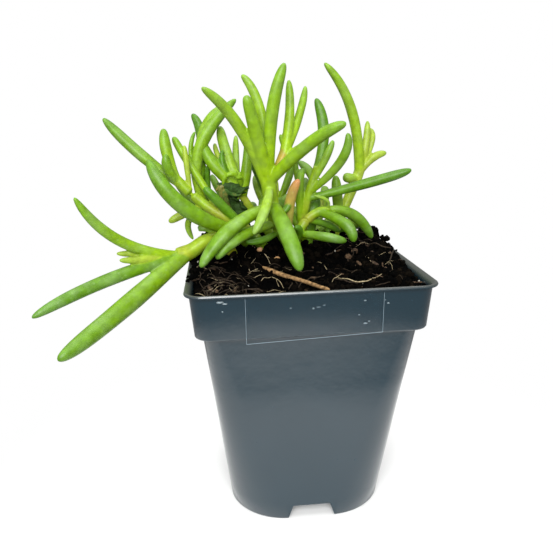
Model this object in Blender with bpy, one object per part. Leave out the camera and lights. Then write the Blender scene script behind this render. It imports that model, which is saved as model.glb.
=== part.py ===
"""Finger-leaved succulent in a square nursery pot.

The pot stands on four corner feet with raised channels between them. It holds potting soil,
leafy stems that stand in holes in the soil, and one dry twig that lies on it. Every size below
is in millimetres, from the middle of the pot's foot: x to the right, y to the back, z up.
"""

import math
from collections import namedtuple

import bmesh
import bpy
from mathutils import Vector, noise

MM = 0.001

# The pot's middle, set so that the box round pot and plant is centred on the origin
POT_PLACE = (27.0, -6.6, 0.0)

# Touching pieces keep this gap, and a cutter runs this far past what it cuts
GAP = 0.3
CUT_PAST = 5.0

# Square sections of the pot: height, half of the width, and corner radius
Section = namedtuple("Section", "height half_width corner")
POT_HEIGHT = 99.0
BODY_HEIGHT = 81.0
COLLAR_SLOPE = 0.8
LIP_THICKNESS = 1.3
OUTSIDE = (
    Section(0.0, 31.4, 23.0),
    Section(BODY_HEIGHT, 38.7, 6.0),
    Section(BODY_HEIGHT + COLLAR_SLOPE, 41.2, 6.5),
    Section(POT_HEIGHT - LIP_THICKNESS, 42.6, 6.5),
    Section(POT_HEIGHT - LIP_THICKNESS, 44.8, 7.0),
    Section(POT_HEIGHT - LIP_THICKNESS / 2, 45.0, 7.0),
    Section(POT_HEIGHT, 44.8, 7.0),
)
WALL = 1.0
FLOOR = 1.2
INSIDE = (
    Section(FLOOR, 30.5, 22.0),
    Section(BODY_HEIGHT + WALL, 37.7, 5.2),
    Section(BODY_HEIGHT + WALL + COLLAR_SLOPE, 40.2, 5.5),
    Section(POT_HEIGHT, 41.6, 5.6),
)
CORNER_STEPS = 8

# Raised channels under the floor, which leave four corner feet
CHANNEL_HEIGHT = 6.0
CHANNEL_TOP = 7.4
CHANNEL_FOOT = 9.4
DRAIN_RADIUS = 3.0
DRAIN_SPACING = 19.0

# Soil surface: its level in the middle, a slope up to the back, a dip along the wall, and lumps
SOIL_LEVEL = 97.3
SOIL_SLOPE = 0.035
SOIL_EDGE_DIP = 3.0
SOIL_EDGE_REACH = 5.0
SOIL_HALF_WIDTH = INSIDE[-1].half_width - 3 * GAP
# Heaps on it: x, y, height and reach
SOIL_HEAPS = ((-4.0, 14.0, 5.5, 17.0), (33.0, 33.0, 5.0, 9.0), (17.0, 16.0, 3.0, 8.0))
SOIL_LUMP = 0.9
SOIL_LUMP_SIZE = 9.0
SOIL_RINGS = (0.95, 0.86, 0.75, 0.63, 0.5, 0.36, 0.21, 0.07)
HOLE_BOTTOM = 84.0
HOLE_SIDES = 12
STEM_FOOT = 85.0

# A leaf's half width along its length, as shares of its greatest half width
LEAF_SHAPE = (
    (0.0, 0.66),
    (0.14, 0.76),
    (0.36, 0.93),
    (0.58, 1.0),
    (0.78, 0.87),
    (0.92, 0.56),
    (1.0, 0.16),
)
# A leaf narrower than this has six sides, and any other rod has eight
SLIM_LEAF = 3.2
SIX_SIDES = 1
EIGHT_SIDES = 2
PATH_STEPS = 3
WELD = 1e-7

TWIG_WIDTH = 1.6
TWIG_TAPER = 0.3
TWIG_PLACES = ((-14.5, -8.0), (-9.0, -17.0), (-2.5, -28.0), (4.5, -39.5))

# A leaf leaves its stem at a share of the stem's length, and bends through its middle to its tip
Leaf = namedtuple("Leaf", "start middle tip width")
# A stem passes through its points, and narrows from its first to its last width. The first
# stem of a shoot starts just above the soil, straight over its foot
Stem = namedtuple("Stem", "points widths leaves")

SHOOTS = {
    "shoot_centre": (
        Stem(
            points=((-3, 8, 104), (-8, 0, 114), (-11, -6, 124), (-12.5, -8.5, 138), (-12.5, -9, 144)),
            widths=(4.8, 4.6),
            leaves=(
                Leaf(0.87, (-22, -14, 152), (-35, -22, 166), 4.4),
                Leaf(0.87, (3, -18, 147), (14, -24, 153), 5.0),
                Leaf(0.96, (-14.3, -5, 158.5), (-20.5, -4, 171), 3.9),
                Leaf(0.95, (-17.2, -16, 153.5), (-19.5, -20, 164), 5.0),
                Leaf(0.98, (-10.6, -12, 158), (-6, -14, 174), 5.5),
                Leaf(0.79, (-14, -17, 124), (-19, -22, 115), 4.0),
                Leaf(0.66, (-27, -14, 116), (-39, -20, 103), 6.0),
                Leaf(0.68, (-7, -20, 115), (-3, -28, 102), 6.6),
                Leaf(0.52, (-24, -12, 112), (-33, -16, 105), 3.8),
                Leaf(0.45, (-14, -4, 109), (-21, -6, 108.5), 3.2),
                Leaf(0.56, (-4, -2, 122), (-1, -5, 127), 3.4),
            ),
        ),
        Stem(
            points=((-11.5, -7, 131), (-7.5, -5, 138), (-4.5, -3, 145)),
            widths=(3.2, 2.6),
            leaves=(
                Leaf(0.9, (-2.8, -1.5, 156), (-2.7, 0, 169), 3.9),
                Leaf(0.8, (0.8, 1, 155.5), (4.4, 6, 167), 3.6),
                Leaf(0.95, (-6, -3, 149), (-6.5, -2, 151.5), 2.0),
                Leaf(0.7, (1.5, -5, 145), (7, -6, 147.5), 3.4),
            ),
        ),
    ),
    "shoot_left": (
        Stem(
            points=((-13, 8, 103), (-20, 5, 111), (-30.5, 3.5, 117.5), (-40, 5, 124.5), (-49, 6, 134)),
            widths=(4.8, 4.4),
            leaves=(
                Leaf(0.93, (-61, 9, 143.3), (-75, 12, 156.6), 4.9),
                Leaf(0.42, (-43, -7, 122), (-57, -6, 141), 6.8),
                Leaf(0.97, (-50.5, 7, 143), (-51, 8, 152), 4.9),
                Leaf(0.95, (-50.5, 3, 136.5), (-51, 2, 142.5), 4.0),
                Leaf(0.9, (-46, 11, 139.5), (-49, 14, 149), 4.0),
                Leaf(0.86, (-43.5, 5.5, 138), (-44, 6, 145.5), 2.8),
                Leaf(0.36, (-30, 1, 122.5), (-36.5, 0, 129.5), 4.4),
                Leaf(0.7, (-44, 9, 116), (-43, 9, 108), 3.0),
                Leaf(0.75, (-46, 7, 119), (-51.5, 6, 115.5), 2.4),
                Leaf(0.28, (-22, -1, 111), (-27, -6, 114), 4.0),
            ),
        ),
    ),
    "shoot_front_left": (
        Stem(
            points=(
                (-27, 13, 100.5), (-31, 9, 106.5), (-37, 5.5, 107.2), (-43, 4, 103.8),
                (-48.5, 2.5, 101.8),
            ),
            widths=(4.6, 4.6),
            leaves=(
                Leaf(0.98, (-69, -7, 109.3), (-82, -16, 127.5), 4.4),
                Leaf(0.97, (-76, -13, 97), (-99, -28, 89), 5.0),
                Leaf(0.95, (-72, -18, 86), (-90, -36, 76), 6.9),
                Leaf(0.97, (-59, -2, 104.5), (-72, -6, 106.5), 2.2),
                Leaf(0.97, (-59, -4, 103), (-70, -10, 104), 2.2),
                Leaf(0.42, (-35, 9, 111), (-40, 9, 111.5), 2.8),
            ),
        ),
    ),
    "shoot_back_left": (
        Stem(
            points=((-19, 18, 102), (-28, 15, 111), (-35, 13.5, 118), (-39, 13, 126), (-40, 13, 131)),
            widths=(4.2, 3.4),
            leaves=(
                Leaf(0.9, (-38, 13, 145), (-23, 16, 163), 5.0),
                Leaf(0.96, (-36.5, 17, 148), (-28, 18, 161), 3.6),
                Leaf(0.94, (-37.8, 19, 147), (-41, 22, 157.5), 3.4),
                Leaf(0.97, (-42, 15, 142), (-40, 17, 150.5), 2.2),
                Leaf(0.55, (-36, 26, 116), (-42, 38, 120), 4.8),
                Leaf(0.75, (-44, 20, 124), (-50, 26, 132), 4.0),
            ),
        ),
    ),
    "shoot_back_centre": (
        Stem(
            points=((-8, 17, 104.5), (-14, 14, 113), (-20, 12, 122), (-24, 10.5, 130)),
            widths=(4.2, 3.2),
            leaves=(
                Leaf(0.9, (-21, 11, 139), (-19, 14, 147.5), 3.0),
                Leaf(0.95, (-23.5, 16, 139), (-23, 22, 148.5), 2.6),
                Leaf(0.95, (-25, 15, 142), (-28, 20, 153.5), 4.0),
                Leaf(0.97, (-30, 16, 139), (-32, 20, 145.5), 2.4),
                Leaf(0.97, (-31, 9.5, 136), (-36, 9, 142.5), 4.0),
                Leaf(0.95, (-28.5, 10.5, 136), (-29, 12, 143), 2.8),
                Leaf(0.5, (-12, 24, 118), (-10, 34, 124), 4.8),
                Leaf(0.4, (-6, 19, 117), (-1, 22, 123), 4.2),
                Leaf(0.82, (-26, 8, 129), (-32, 6, 128), 2.6),
            ),
        ),
    ),
    "shoot_right_of_centre": (
        Stem(
            points=((4, 13, 104), (3, 9, 112), (5, 6, 124), (9, 5.5, 136)),
            widths=(4.2, 3.2),
            leaves=(
                Leaf(0.95, (13, 11, 148.5), (10.5, 14, 162.5), 4.0),
                Leaf(0.93, (12, 4.5, 139.5), (15.5, 4, 146.5), 3.8),
                Leaf(0.86, (17, 0.5, 140.5), (20, -2, 149.5), 3.6),
                Leaf(0.75, (29, 1, 129.6), (45, -4, 134.6), 4.2),
                Leaf(0.5, (-3.5, 2, 123), (-1, -1.5, 132.5), 3.8),
                Leaf(0.7, (1, 8, 132), (1, 9, 141.5), 2.6),
                Leaf(0.86, (8, 13, 134), (3, 17, 138.5), 2.8),
                Leaf(0.42, (-2, 11, 117), (-8, 10, 123), 4.0),
                Leaf(0.6, (6, 14, 123), (6, 20, 130), 4.2),
            ),
        ),
    ),
    "shoot_right": (
        Stem(
            points=((18, 20, 102.5), (20, 20.5, 109), (24, 21, 118), (28.5, 22, 128), (30, 22, 134)),
            widths=(4.2, 3.6),
            leaves=(
                Leaf(0.97, (25.6, 19, 158.5), (14.6, 16, 176.5), 4.0),
                Leaf(0.95, (33, 23, 143), (34, 24, 153), 2.4),
                Leaf(0.94, (37, 25, 145), (36, 28, 150.5), 2.4),
                Leaf(0.92, (36, 22, 137), (42, 22, 139.5), 3.4),
                Leaf(0.9, (26, 20.5, 129.5), (23, 20, 131.5), 3.0),
                Leaf(0.52, (19.5, 16, 122), (18, 15, 131.5), 2.6),
                Leaf(0.5, (31, 32, 114), (36, 43, 110), 4.6),
            ),
        ),
    ),
    "shoot_front_right": (
        Stem(
            points=(
                (-1.5, -1.5, 101.5), (-0.5, -0.5, 109), (4, 1, 115.5), (9, 1.5, 118.5),
                (13, 1, 118.5),
            ),
            widths=(4.2, 3.8),
            leaves=(
                Leaf(0.95, (23, 2.5, 116.5), (32, 6, 106), 5.0),
                Leaf(0.9, (22, -7, 113), (19, -13, 107), 5.0),
                Leaf(0.6, (8, -7, 110), (16, -8, 107.5), 3.4),
                Leaf(0.75, (12, 4, 113), (18, 5, 109.5), 3.6),
                Leaf(0.97, (12, -2, 123), (6.5, -3, 125.5), 1.8),
                Leaf(0.5, (0, -5, 112), (-2, -8, 114), 3.2),
            ),
        ),
    ),
    "shoot_rear_left": (
        Stem(
            points=((-20, 29, 101), (-23, 33, 108), (-26, 37, 116)),
            widths=(4.0, 3.2),
            leaves=(
                Leaf(0.95, (-31, 42, 124), (-34, 47, 130), 4.2),
                Leaf(0.95, (-22, 43, 124), (-19, 47, 132), 4.4),
                Leaf(0.7, (-36, 46, 113), (-47, 56, 110), 5.0),
                Leaf(0.7, (-18, 46, 114), (-14, 58, 113), 5.2),
                Leaf(0.96, (-27, 39, 122), (-27, 40, 126), 2.4),
                Leaf(0.5, (-12, 36, 109), (-5, 43, 108), 4.4),
                Leaf(0.5, (-33, 32, 108), (-41, 33, 108), 4.4),
            ),
        ),
    ),
    "shoot_rear_right": (
        Stem(
            points=((12, 31, 101), (14, 35, 107), (16, 38, 113)),
            widths=(4.0, 3.2),
            leaves=(
                Leaf(0.95, (19, 45, 119), (20, 53, 122), 4.6),
                Leaf(0.95, (12, 41, 121), (8, 43, 128), 4.2),
                Leaf(0.7, (23, 43, 108), (30, 54, 104), 5.0),
                Leaf(0.7, (6, 44, 112), (1, 54, 110), 5.0),
                Leaf(0.96, (17, 40, 118), (18, 41, 122), 2.4),
                Leaf(0.6, (21, 32, 108), (28, 36, 107), 4.2),
            ),
        ),
    ),
    "shoot_rear_centre": (
        Stem(
            points=((-4, 29, 102), (-4, 32, 110), (-5, 34, 119)),
            widths=(4.0, 3.2),
            leaves=(
                Leaf(0.95, (-9, 38, 128), (-11, 42, 137), 4.2),
                Leaf(0.95, (0, 35, 128), (3, 36, 137), 4.2),
                Leaf(0.75, (-3, 44, 118), (-3, 55, 120), 4.8),
                Leaf(0.96, (-5, 36, 124), (-5, 37, 128), 2.4),
                Leaf(0.55, (4, 36, 113), (9, 41, 116), 4.4),
                Leaf(0.55, (-13, 30, 113), (-19, 31, 118), 4.4),
            ),
        ),
    ),
}


def material(name, colour, roughness):
    """A Principled material of one colour."""
    made = bpy.data.materials.new(name)
    made.use_nodes = True
    shader = made.node_tree.nodes["Principled BSDF"]
    shader.inputs["Base Color"].default_value = (*colour, 1.0)
    shader.inputs["Roughness"].default_value = roughness
    return made


def mesh_object(name, mesh, collection, finish=None):
    """A new object for the mesh, in the collection."""
    made = bpy.data.objects.new(name, mesh)
    collection.objects.link(made)
    if finish:
        mesh.materials.clear()
        mesh.materials.append(finish)
    return made


def loft(name, rings, collection, finish=None):
    """A closed skin over rings that have the same number of points, in millimetres."""
    grid = bmesh.new()
    rows = [[grid.verts.new(Vector(point) * MM) for point in ring] for ring in rings]
    for lower, upper in zip(rows, rows[1:]):
        for here in range(len(lower)):
            ahead = (here + 1) % len(lower)
            grid.faces.new((lower[here], lower[ahead], upper[ahead], upper[here]))
    grid.faces.new(reversed(rows[0]))
    grid.faces.new(rows[-1])
    bmesh.ops.recalc_face_normals(grid, faces=grid.faces)
    mesh = bpy.data.meshes.new(name)
    grid.to_mesh(mesh)
    grid.free()
    return mesh_object(name, mesh, collection, finish)


def cylinder(name, radius, bottom, top, place, collection):
    """An upright cylinder between two heights."""
    grid = bmesh.new()
    bmesh.ops.create_cone(
        grid,
        cap_ends=True,
        segments=HOLE_SIDES,
        radius1=radius * MM,
        radius2=radius * MM,
        depth=(top - bottom) * MM,
    )
    middle = Vector((place[0], place[1], (bottom + top) / 2)) * MM
    bmesh.ops.translate(grid, verts=grid.verts, vec=middle)
    mesh = bpy.data.meshes.new(name)
    grid.to_mesh(mesh)
    grid.free()
    return mesh_object(name, mesh, collection)


def as_cutter(cutter):
    """Hides a helper from renders and shows it as a wire."""
    cutter.hide_render = True
    cutter.display_type = "WIRE"
    return cutter


def apply_boolean(target, operation, helpers):
    """Joins or cuts the target with every object of the helpers' collection, then removes them."""
    modifier = target.modifiers.new(operation.title(), "BOOLEAN")
    modifier.operation = operation
    modifier.solver = "EXACT"
    modifier.operand_type = "COLLECTION"
    modifier.collection = helpers
    bpy.context.view_layer.update()
    evaluated = target.evaluated_get(bpy.context.evaluated_depsgraph_get())
    mesh = bpy.data.meshes.new_from_object(evaluated)
    mesh.name = target.name
    target.modifiers.clear()
    old = target.data
    target.data = mesh
    bpy.data.meshes.remove(old)
    for helper in list(helpers.objects):
        bpy.data.objects.remove(helper, do_unlink=True)


def square_ring(section, height=None):
    """The points of a rounded square, counterclockwise from above."""
    middle = section.half_width - section.corner
    ring = []
    for quarter, (side, front) in enumerate(((1, 1), (-1, 1), (-1, -1), (1, -1))):
        for step in range(CORNER_STEPS + 1):
            angle = (quarter + step / CORNER_STEPS) * math.pi / 2
            x = side * middle + section.corner * math.cos(angle)
            y = front * middle + section.corner * math.sin(angle)
            ring.append((x, y, section.height if height is None else height))
    return ring


def cross_ring(half_width, reach, height):
    """The twelve corners of a plus shape."""
    quarter = ((reach, -half_width), (reach, half_width), (half_width, half_width))
    ring = []
    for turn in range(4):
        cosine = round(math.cos(turn * math.pi / 2))
        sine = round(math.sin(turn * math.pi / 2))
        for x, y in quarter:
            ring.append((x * cosine - y * sine, x * sine + y * cosine, height))
    return ring


def channel_cross(name, margin, collection):
    """The raised channels as a solid plus shape, fatter by the margin."""
    reach = OUTSIDE[1].half_width + CUT_PAST
    slope = (CHANNEL_FOOT - CHANNEL_TOP) / CHANNEL_HEIGHT
    foot = CHANNEL_FOOT + margin + slope * CUT_PAST
    top = CHANNEL_TOP + margin - slope * margin
    rings = (cross_ring(foot, reach, -CUT_PAST), cross_ring(top, reach, CHANNEL_HEIGHT + margin))
    return as_cutter(loft(name, rings, collection))


def cavity(name, collection):
    """The hollow that the soil fills, with the channels standing up in it."""
    rings = [square_ring(section) for section in INSIDE]
    rings.append(square_ring(INSIDE[-1], POT_HEIGHT + CUT_PAST))
    hollow = as_cutter(loft(name, rings, collection))
    crossing = new_collection("cavity_helpers")
    channel_cross("channel_inside", FLOOR, crossing)
    apply_boolean(hollow, "DIFFERENCE", crossing)
    bpy.data.collections.remove(crossing)
    return hollow


def make_pot(parts, cutters, finish):
    """The moulded pot: walls, collar, rim lip, four feet and drain holes."""
    pot = loft("pot", [square_ring(section) for section in OUTSIDE], parts, finish)
    channel_cross("channel_outside", 0.0, cutters)
    apply_boolean(pot, "DIFFERENCE", cutters)
    cavity("pot_cavity", cutters)
    for x, y in ((0, 0), (1, 0), (-1, 0), (0, 1), (0, -1)):
        place = (x * DRAIN_SPACING, y * DRAIN_SPACING)
        hole = cylinder("drain_hole", DRAIN_RADIUS, -CUT_PAST, CHANNEL_HEIGHT + CUT_PAST, place, cutters)
        as_cutter(hole)
    apply_boolean(pot, "DIFFERENCE", cutters)
    return pot


def soil_height(x, y):
    """How high the soil stands here: a dip along the wall, the heaps, and lumps."""
    wall_distance = SOIL_HALF_WIDTH - max(abs(x), abs(y))
    dip = SOIL_EDGE_DIP * math.exp(-wall_distance / SOIL_EDGE_REACH)
    heaps = 0.0
    for heap_x, heap_y, height, reach in SOIL_HEAPS:
        heaps += height * math.exp(-((math.hypot(x - heap_x, y - heap_y) / reach) ** 2))
    lump = SOIL_LUMP * noise.noise(Vector((x, y, 0)) / SOIL_LUMP_SIZE)
    return SOIL_LEVEL + SOIL_SLOPE * y - dip + heaps + lump


def soil_side(section):
    """A section of the cavity, drawn in by the gap and lifted by it."""
    return Section(section.height + GAP, section.half_width - GAP, section.corner - GAP)



def make_soil(parts, cutters, finish):
    """Soil that fills the cavity, with a lumpy top and a plain hole for each stem."""
    rings = [square_ring(soil_side(section)) for section in INSIDE[:-1]]
    edge = square_ring(Section(SOIL_LEVEL, SOIL_HALF_WIDTH, INSIDE[-1].corner))
    for share in (1.0,) + SOIL_RINGS:
        rings.append([(x * share, y * share, soil_height(x * share, y * share)) for x, y, _ in edge])
    soil = loft("soil", rings, parts, finish)
    channel_cross("channel_soil", FLOOR + GAP, cutters)
    for stems in SHOOTS.values():
        foot = stems[0].points[0]
        radius = (stems[0].widths[0] / 2 + GAP) / math.cos(math.pi / HOLE_SIDES)
        hole = cylinder("stem_hole", radius, HOLE_BOTTOM, POT_HEIGHT + 2 * CUT_PAST, foot, cutters)
        as_cutter(hole)
    apply_boolean(soil, "DIFFERENCE", cutters)
    return soil


def smooth_path(points):
    """Points along a smooth curve through the given points, a few to each span."""
    known = [Vector(point) for point in points]
    known = [2 * known[0] - known[1]] + known + [2 * known[-1] - known[-2]]
    path = []
    for before, start, end, after in zip(known, known[1:], known[2:], known[3:]):
        for step in range(PATH_STEPS):
            t = step / PATH_STEPS
            pull = (end - before) * t + (2 * before - 5 * start + 4 * end - after) * t**2
            path.append(start + (pull + (3 * start - before - 3 * end + after) * t**3) / 2)
    path.append(known[-2])
    return path


def point_along(path, share):
    """The point at this share of the path's length."""
    lengths = [(end - start).length for start, end in zip(path, path[1:])]
    left = share * sum(lengths)
    for start, end, length in zip(path, path[1:], lengths):
        if left <= length:
            return start.lerp(end, left / length)
        left -= length
    return path[-1]


def leaf_path(leaf, root):
    """The leaf's centre line: one bend from its root through its middle to its tip."""
    middle = Vector(leaf.middle)
    tip = Vector(leaf.tip)
    bend = 2 * middle - (root + tip) / 2
    return [root * (1 - t) ** 2 + bend * 2 * t * (1 - t) + tip * t**2 for t, _ in LEAF_SHAPE]


def leaf_radii(leaf):
    """The leaf's half width at each point of its centre line."""
    return [share * leaf.width / 2 for _, share in LEAF_SHAPE]


def stem_path(stem, in_soil):
    """The stem's centre line, with a straight foot below it where it stands in the soil."""
    path = smooth_path(stem.points)
    if in_soil:
        foot = path[0].copy()
        foot.z = STEM_FOOT
        path.insert(0, foot)
    return path


def stem_radii(stem, count):
    """The stem's half width at each of its points, from the first width to the last."""
    first, last = stem.widths
    return [(first + (last - first) * step / (count - 1)) / 2 for step in range(count)]


def tube(name, path, radii, resolution, collection):
    """A closed round rod along a path whose half width changes, made a mesh."""
    curve = bpy.data.curves.new(name, "CURVE")
    curve.dimensions = "3D"
    curve.bevel_depth = MM
    curve.bevel_resolution = resolution
    curve.use_fill_caps = True
    spline = curve.splines.new("POLY")
    spline.points.add(len(path) - 1)
    for point, place, radius in zip(spline.points, path, radii):
        point.co = (*(place * MM), 1.0)
        point.radius = radius
    guide = bpy.data.objects.new(name, curve)
    collection.objects.link(guide)
    bpy.context.view_layer.update()
    mesh = bpy.data.meshes.new_from_object(guide.evaluated_get(bpy.context.evaluated_depsgraph_get()))
    bpy.data.objects.remove(guide, do_unlink=True)
    welded = bmesh.new()
    welded.from_mesh(mesh)
    bmesh.ops.remove_doubles(welded, verts=welded.verts, dist=WELD)
    bmesh.ops.recalc_face_normals(welded, faces=welded.faces)
    welded.to_mesh(mesh)
    welded.free()
    return mesh_object(name, mesh, collection)


def make_shoot(name, stems, parts, helpers, finish):
    """A leafy stem: its side stems and its leaves fused to the main stem."""
    shoot = None
    for number, stem in enumerate(stems):
        path = stem_path(stem, number == 0)
        radii = stem_radii(stem, len(path))
        if number == 0:
            shoot = tube(name, path, radii, EIGHT_SIDES, parts)
        else:
            tube("side_stem", path, radii, EIGHT_SIDES, helpers)
        for leaf in stem.leaves:
            resolution = SIX_SIDES if leaf.width < SLIM_LEAF else EIGHT_SIDES
            line = leaf_path(leaf, point_along(path, leaf.start))
            tube("leaf", line, leaf_radii(leaf), resolution, helpers)
    apply_boolean(shoot, "UNION", helpers)
    shoot.data.materials.clear()
    shoot.data.materials.append(finish)
    shoot.data.shade_smooth()
    return shoot


def make_twig(parts, finish):
    """A dry twig that lies on the soil."""
    points = [(x, y, soil_height(x, y) + TWIG_WIDTH / 2 + 2 * GAP) for x, y in TWIG_PLACES]
    path = smooth_path(points)
    radii = [TWIG_WIDTH / 2 * (1 - TWIG_TAPER * step / (len(path) - 1)) for step in range(len(path))]
    twig = tube("twig", path, radii, SIX_SIDES, parts)
    twig.data.materials.append(finish)
    twig.data.shade_smooth()
    return twig


def new_collection(name):
    """An empty collection in the scene."""
    made = bpy.data.collections.new(name)
    bpy.context.scene.collection.children.link(made)
    return made


def main():
    """Builds the potted plant."""
    for old in list(bpy.data.objects):
        bpy.data.objects.remove(old, do_unlink=True)
    parts = new_collection("potted_succulent")
    cutters = new_collection("cutters")
    helpers = new_collection("repeats")

    moulded_plastic = material("slate_blue_plastic", (0.07, 0.10, 0.13), 0.45)
    peat = material("peat_soil", (0.02, 0.014, 0.01), 0.95)
    leaf_flesh = material("green_leaf_flesh", (0.16, 0.42, 0.06), 0.4)
    dry_wood = material("dry_twig_wood", (0.30, 0.18, 0.10), 0.8)

    make_pot(parts, cutters, moulded_plastic)
    make_soil(parts, cutters, peat)
    for name, stems in SHOOTS.items():
        make_shoot(name, stems, parts, helpers, leaf_flesh)
    make_twig(parts, dry_wood)
    for part in parts.objects:
        part.location = Vector(POT_PLACE) * MM


main()
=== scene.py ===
"""Looks of a potted finger-leaved succulent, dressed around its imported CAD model.

Every size below is in millimetres from the middle of the pot's foot: x to the right, y to the
back, z up. PLACE moves each finished mesh from there into the frame of the CAD model.
"""

from __future__ import annotations

import logging
import math
import random
from collections.abc import Sequence
from dataclasses import dataclass
from enum import Enum
from typing import Any

import bmesh
import bpy
from bmesh.types import BMesh, BMVert
from bpy.types import Material, Mesh, Node, NodeSocket, NodeTree, Object, bpy_prop_collection
from mathutils import Matrix, Vector, noise


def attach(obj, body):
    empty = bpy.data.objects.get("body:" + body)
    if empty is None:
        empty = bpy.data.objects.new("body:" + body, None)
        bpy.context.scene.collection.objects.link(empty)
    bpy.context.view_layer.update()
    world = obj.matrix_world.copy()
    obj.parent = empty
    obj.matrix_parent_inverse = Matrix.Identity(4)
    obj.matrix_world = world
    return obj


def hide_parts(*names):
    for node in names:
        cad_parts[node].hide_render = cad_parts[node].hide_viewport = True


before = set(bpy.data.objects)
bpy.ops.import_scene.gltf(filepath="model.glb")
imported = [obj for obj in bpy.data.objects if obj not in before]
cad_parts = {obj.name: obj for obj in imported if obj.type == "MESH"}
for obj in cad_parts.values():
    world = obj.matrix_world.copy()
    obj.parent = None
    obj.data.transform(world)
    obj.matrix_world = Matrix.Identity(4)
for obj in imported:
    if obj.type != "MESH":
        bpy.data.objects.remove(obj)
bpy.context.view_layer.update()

MM = 0.001
PLACE = Vector((27.0, -6.6, 0.0))
BODY = "root"
LITTER_SEED = 91
UP = Vector((0.0, 0.0, 1.0))
FORWARD = Vector((0.0, -1.0, 0.0))
NO_MARKS = (0.0, 0.0, 0.0, 0.0)
log = logging.getLogger("potted_succulent")

Point = tuple[float, float, float]
# A place on the bed, or any other two numbers that belong together
Spot = tuple[float, float]
# What a leaf's colour hangs on: the share along it, its tone, its blush and its bloom
Marks = tuple[float, float, float, float]
Inputs = dict[str | int, Any]
# A loose bit: its place, its size and its tone
Bit = tuple[Vector, Vector, float]


def linear(hex_colour: str) -> tuple[float, float, float, float]:
    """Turns an sRGB colour into the linear one that a shader socket takes.

    Args:
        hex_colour: Six hex digits, with or without a leading #.

    Returns:
        The linear red, green and blue, and an alpha of 1.
    """
    digits = hex_colour.lstrip("#")
    shares = [int(digits[place : place + 2], 16) / 255 for place in (0, 2, 4)]
    red, green, blue = (
        share / 12.92 if share <= 0.04045 else ((share + 0.055) / 1.055) ** 2.4 for share in shares
    )
    return (red, green, blue, 1.0)


def output_of(node: Node, name: str = "") -> NodeSocket:
    """The node's output in use that has this name, or its first one."""
    shown = [socket for socket in node.outputs if socket.enabled]
    return next((socket for socket in shown if socket.name == name), shown[0])


def set_inputs(tree: NodeTree, node: Node, inputs: Inputs) -> None:
    """Fills a node's sockets.

    Args:
        tree: The node's tree.
        node: The node.
        inputs: Sockets in use by name or number, each with a value, or with an output socket or
            a node to link. A node stands for its first output in use.
    """
    for key, value in inputs.items():
        shown = [socket for socket in node.inputs if socket.enabled]
        socket = shown[key] if isinstance(key, int) else next(s for s in shown if s.name == key)
        if isinstance(value, Node):
            value = output_of(value)
        if isinstance(value, NodeSocket):
            tree.links.new(value, socket)
        else:
            socket.default_value = value


def add_node(tree: NodeTree, kind: str, inputs: Inputs | None = None, **settings: Any) -> Node:
    """Adds one node with its settings and links.

    Args:
        tree: The tree that gets the node.
        kind: The node's type name.
        inputs: What goes into its sockets, as set_inputs takes it.
        **settings: Properties of the node, set before its sockets are looked up.

    Returns:
        The new node.
    """
    node = tree.nodes.new(kind)
    for name, value in settings.items():
        setattr(node, name, value)
    set_inputs(tree, node, inputs or {})
    return node


def new_material(name: str) -> tuple[Material, Node, NodeSocket]:
    """Starts a material.

    Args:
        name: What the real material is.

    Returns:
        The material, its shader and its Object coordinates.
    """
    made = bpy.data.materials.new(name)
    made.use_nodes = True
    shader = made.node_tree.nodes["Principled BSDF"]
    return made, shader, add_node(made.node_tree, "ShaderNodeTexCoord").outputs["Object"]


def new_geometry_tree(name: str, inputs: dict[str, str]) -> tuple[NodeTree, bpy_prop_collection]:
    """Starts a Geometry Nodes tree.

    Args:
        name: The tree's name.
        inputs: The inputs between Geometry and Finish, each with its kind, such as Float.

    Returns:
        The tree, and the outputs of its group input.
    """
    tree = bpy.data.node_groups.new(name, "GeometryNodeTree")
    for socket, kind in {"Geometry": "Geometry", **inputs, "Finish": "Material"}.items():
        tree.interface.new_socket(socket, in_out="INPUT", socket_type="NodeSocket" + kind)
    tree.interface.new_socket("Geometry", in_out="OUTPUT", socket_type="NodeSocketGeometry")
    return tree, add_node(tree, "NodeGroupInput").outputs


def end_geometry_tree(tree: NodeTree, shape: Node, finish: NodeSocket) -> None:
    """Ends a tree in real geometry, with its material set.

    Args:
        tree: The tree.
        shape: The node that gives the geometry.
        finish: The group input's material.
    """
    solid = add_node(tree, "GeometryNodeRealizeInstances", {"Geometry": shape})
    dressed = add_node(tree, "GeometryNodeSetMaterial", {"Geometry": solid, "Material": finish})
    add_node(tree, "NodeGroupOutput", {"Geometry": dressed})


def per_mm(size: float) -> float:
    """The pattern scale, in repeats per metre, for a grain of this size in millimetres."""
    return 1.0 / (size * MM)


def new_object(name: str, mesh: Mesh) -> Object:
    """Puts a mesh in the scene.

    Args:
        name: The object's name.
        mesh: The mesh.

    Returns:
        The new object.
    """
    made = bpy.data.objects.new(name, mesh)
    bpy.context.scene.collection.objects.link(made)
    return made


def object_from(grid: BMesh, name: str) -> Object:
    """Turns a closed bmesh in millimetres into an object with its faces outwards.

    Args:
        grid: The bmesh, which is freed.
        name: The object's name.

    Returns:
        The new object.
    """
    bmesh.ops.recalc_face_normals(grid, faces=grid.faces)
    bmesh.ops.scale(grid, vec=(MM, MM, MM), verts=grid.verts)
    mesh = bpy.data.meshes.new(name)
    grid.to_mesh(mesh)
    grid.free()
    return new_object(name, mesh)


def fill_rows(grid: BMesh, rows: Sequence[Sequence[BMVert]], closed: bool = False) -> None:
    """Joins each row of vertices to the next one with four-sided faces.

    Args:
        grid: The bmesh.
        rows: Rows that have the same number of vertices.
        closed: Whether each row is a ring.
    """
    for lower, upper in zip(rows, rows[1:]):
        for here in range(len(lower) if closed else len(lower) - 1):
            ahead = (here + 1) % len(lower)
            grid.faces.new((lower[here], lower[ahead], upper[ahead], upper[here]))


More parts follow.
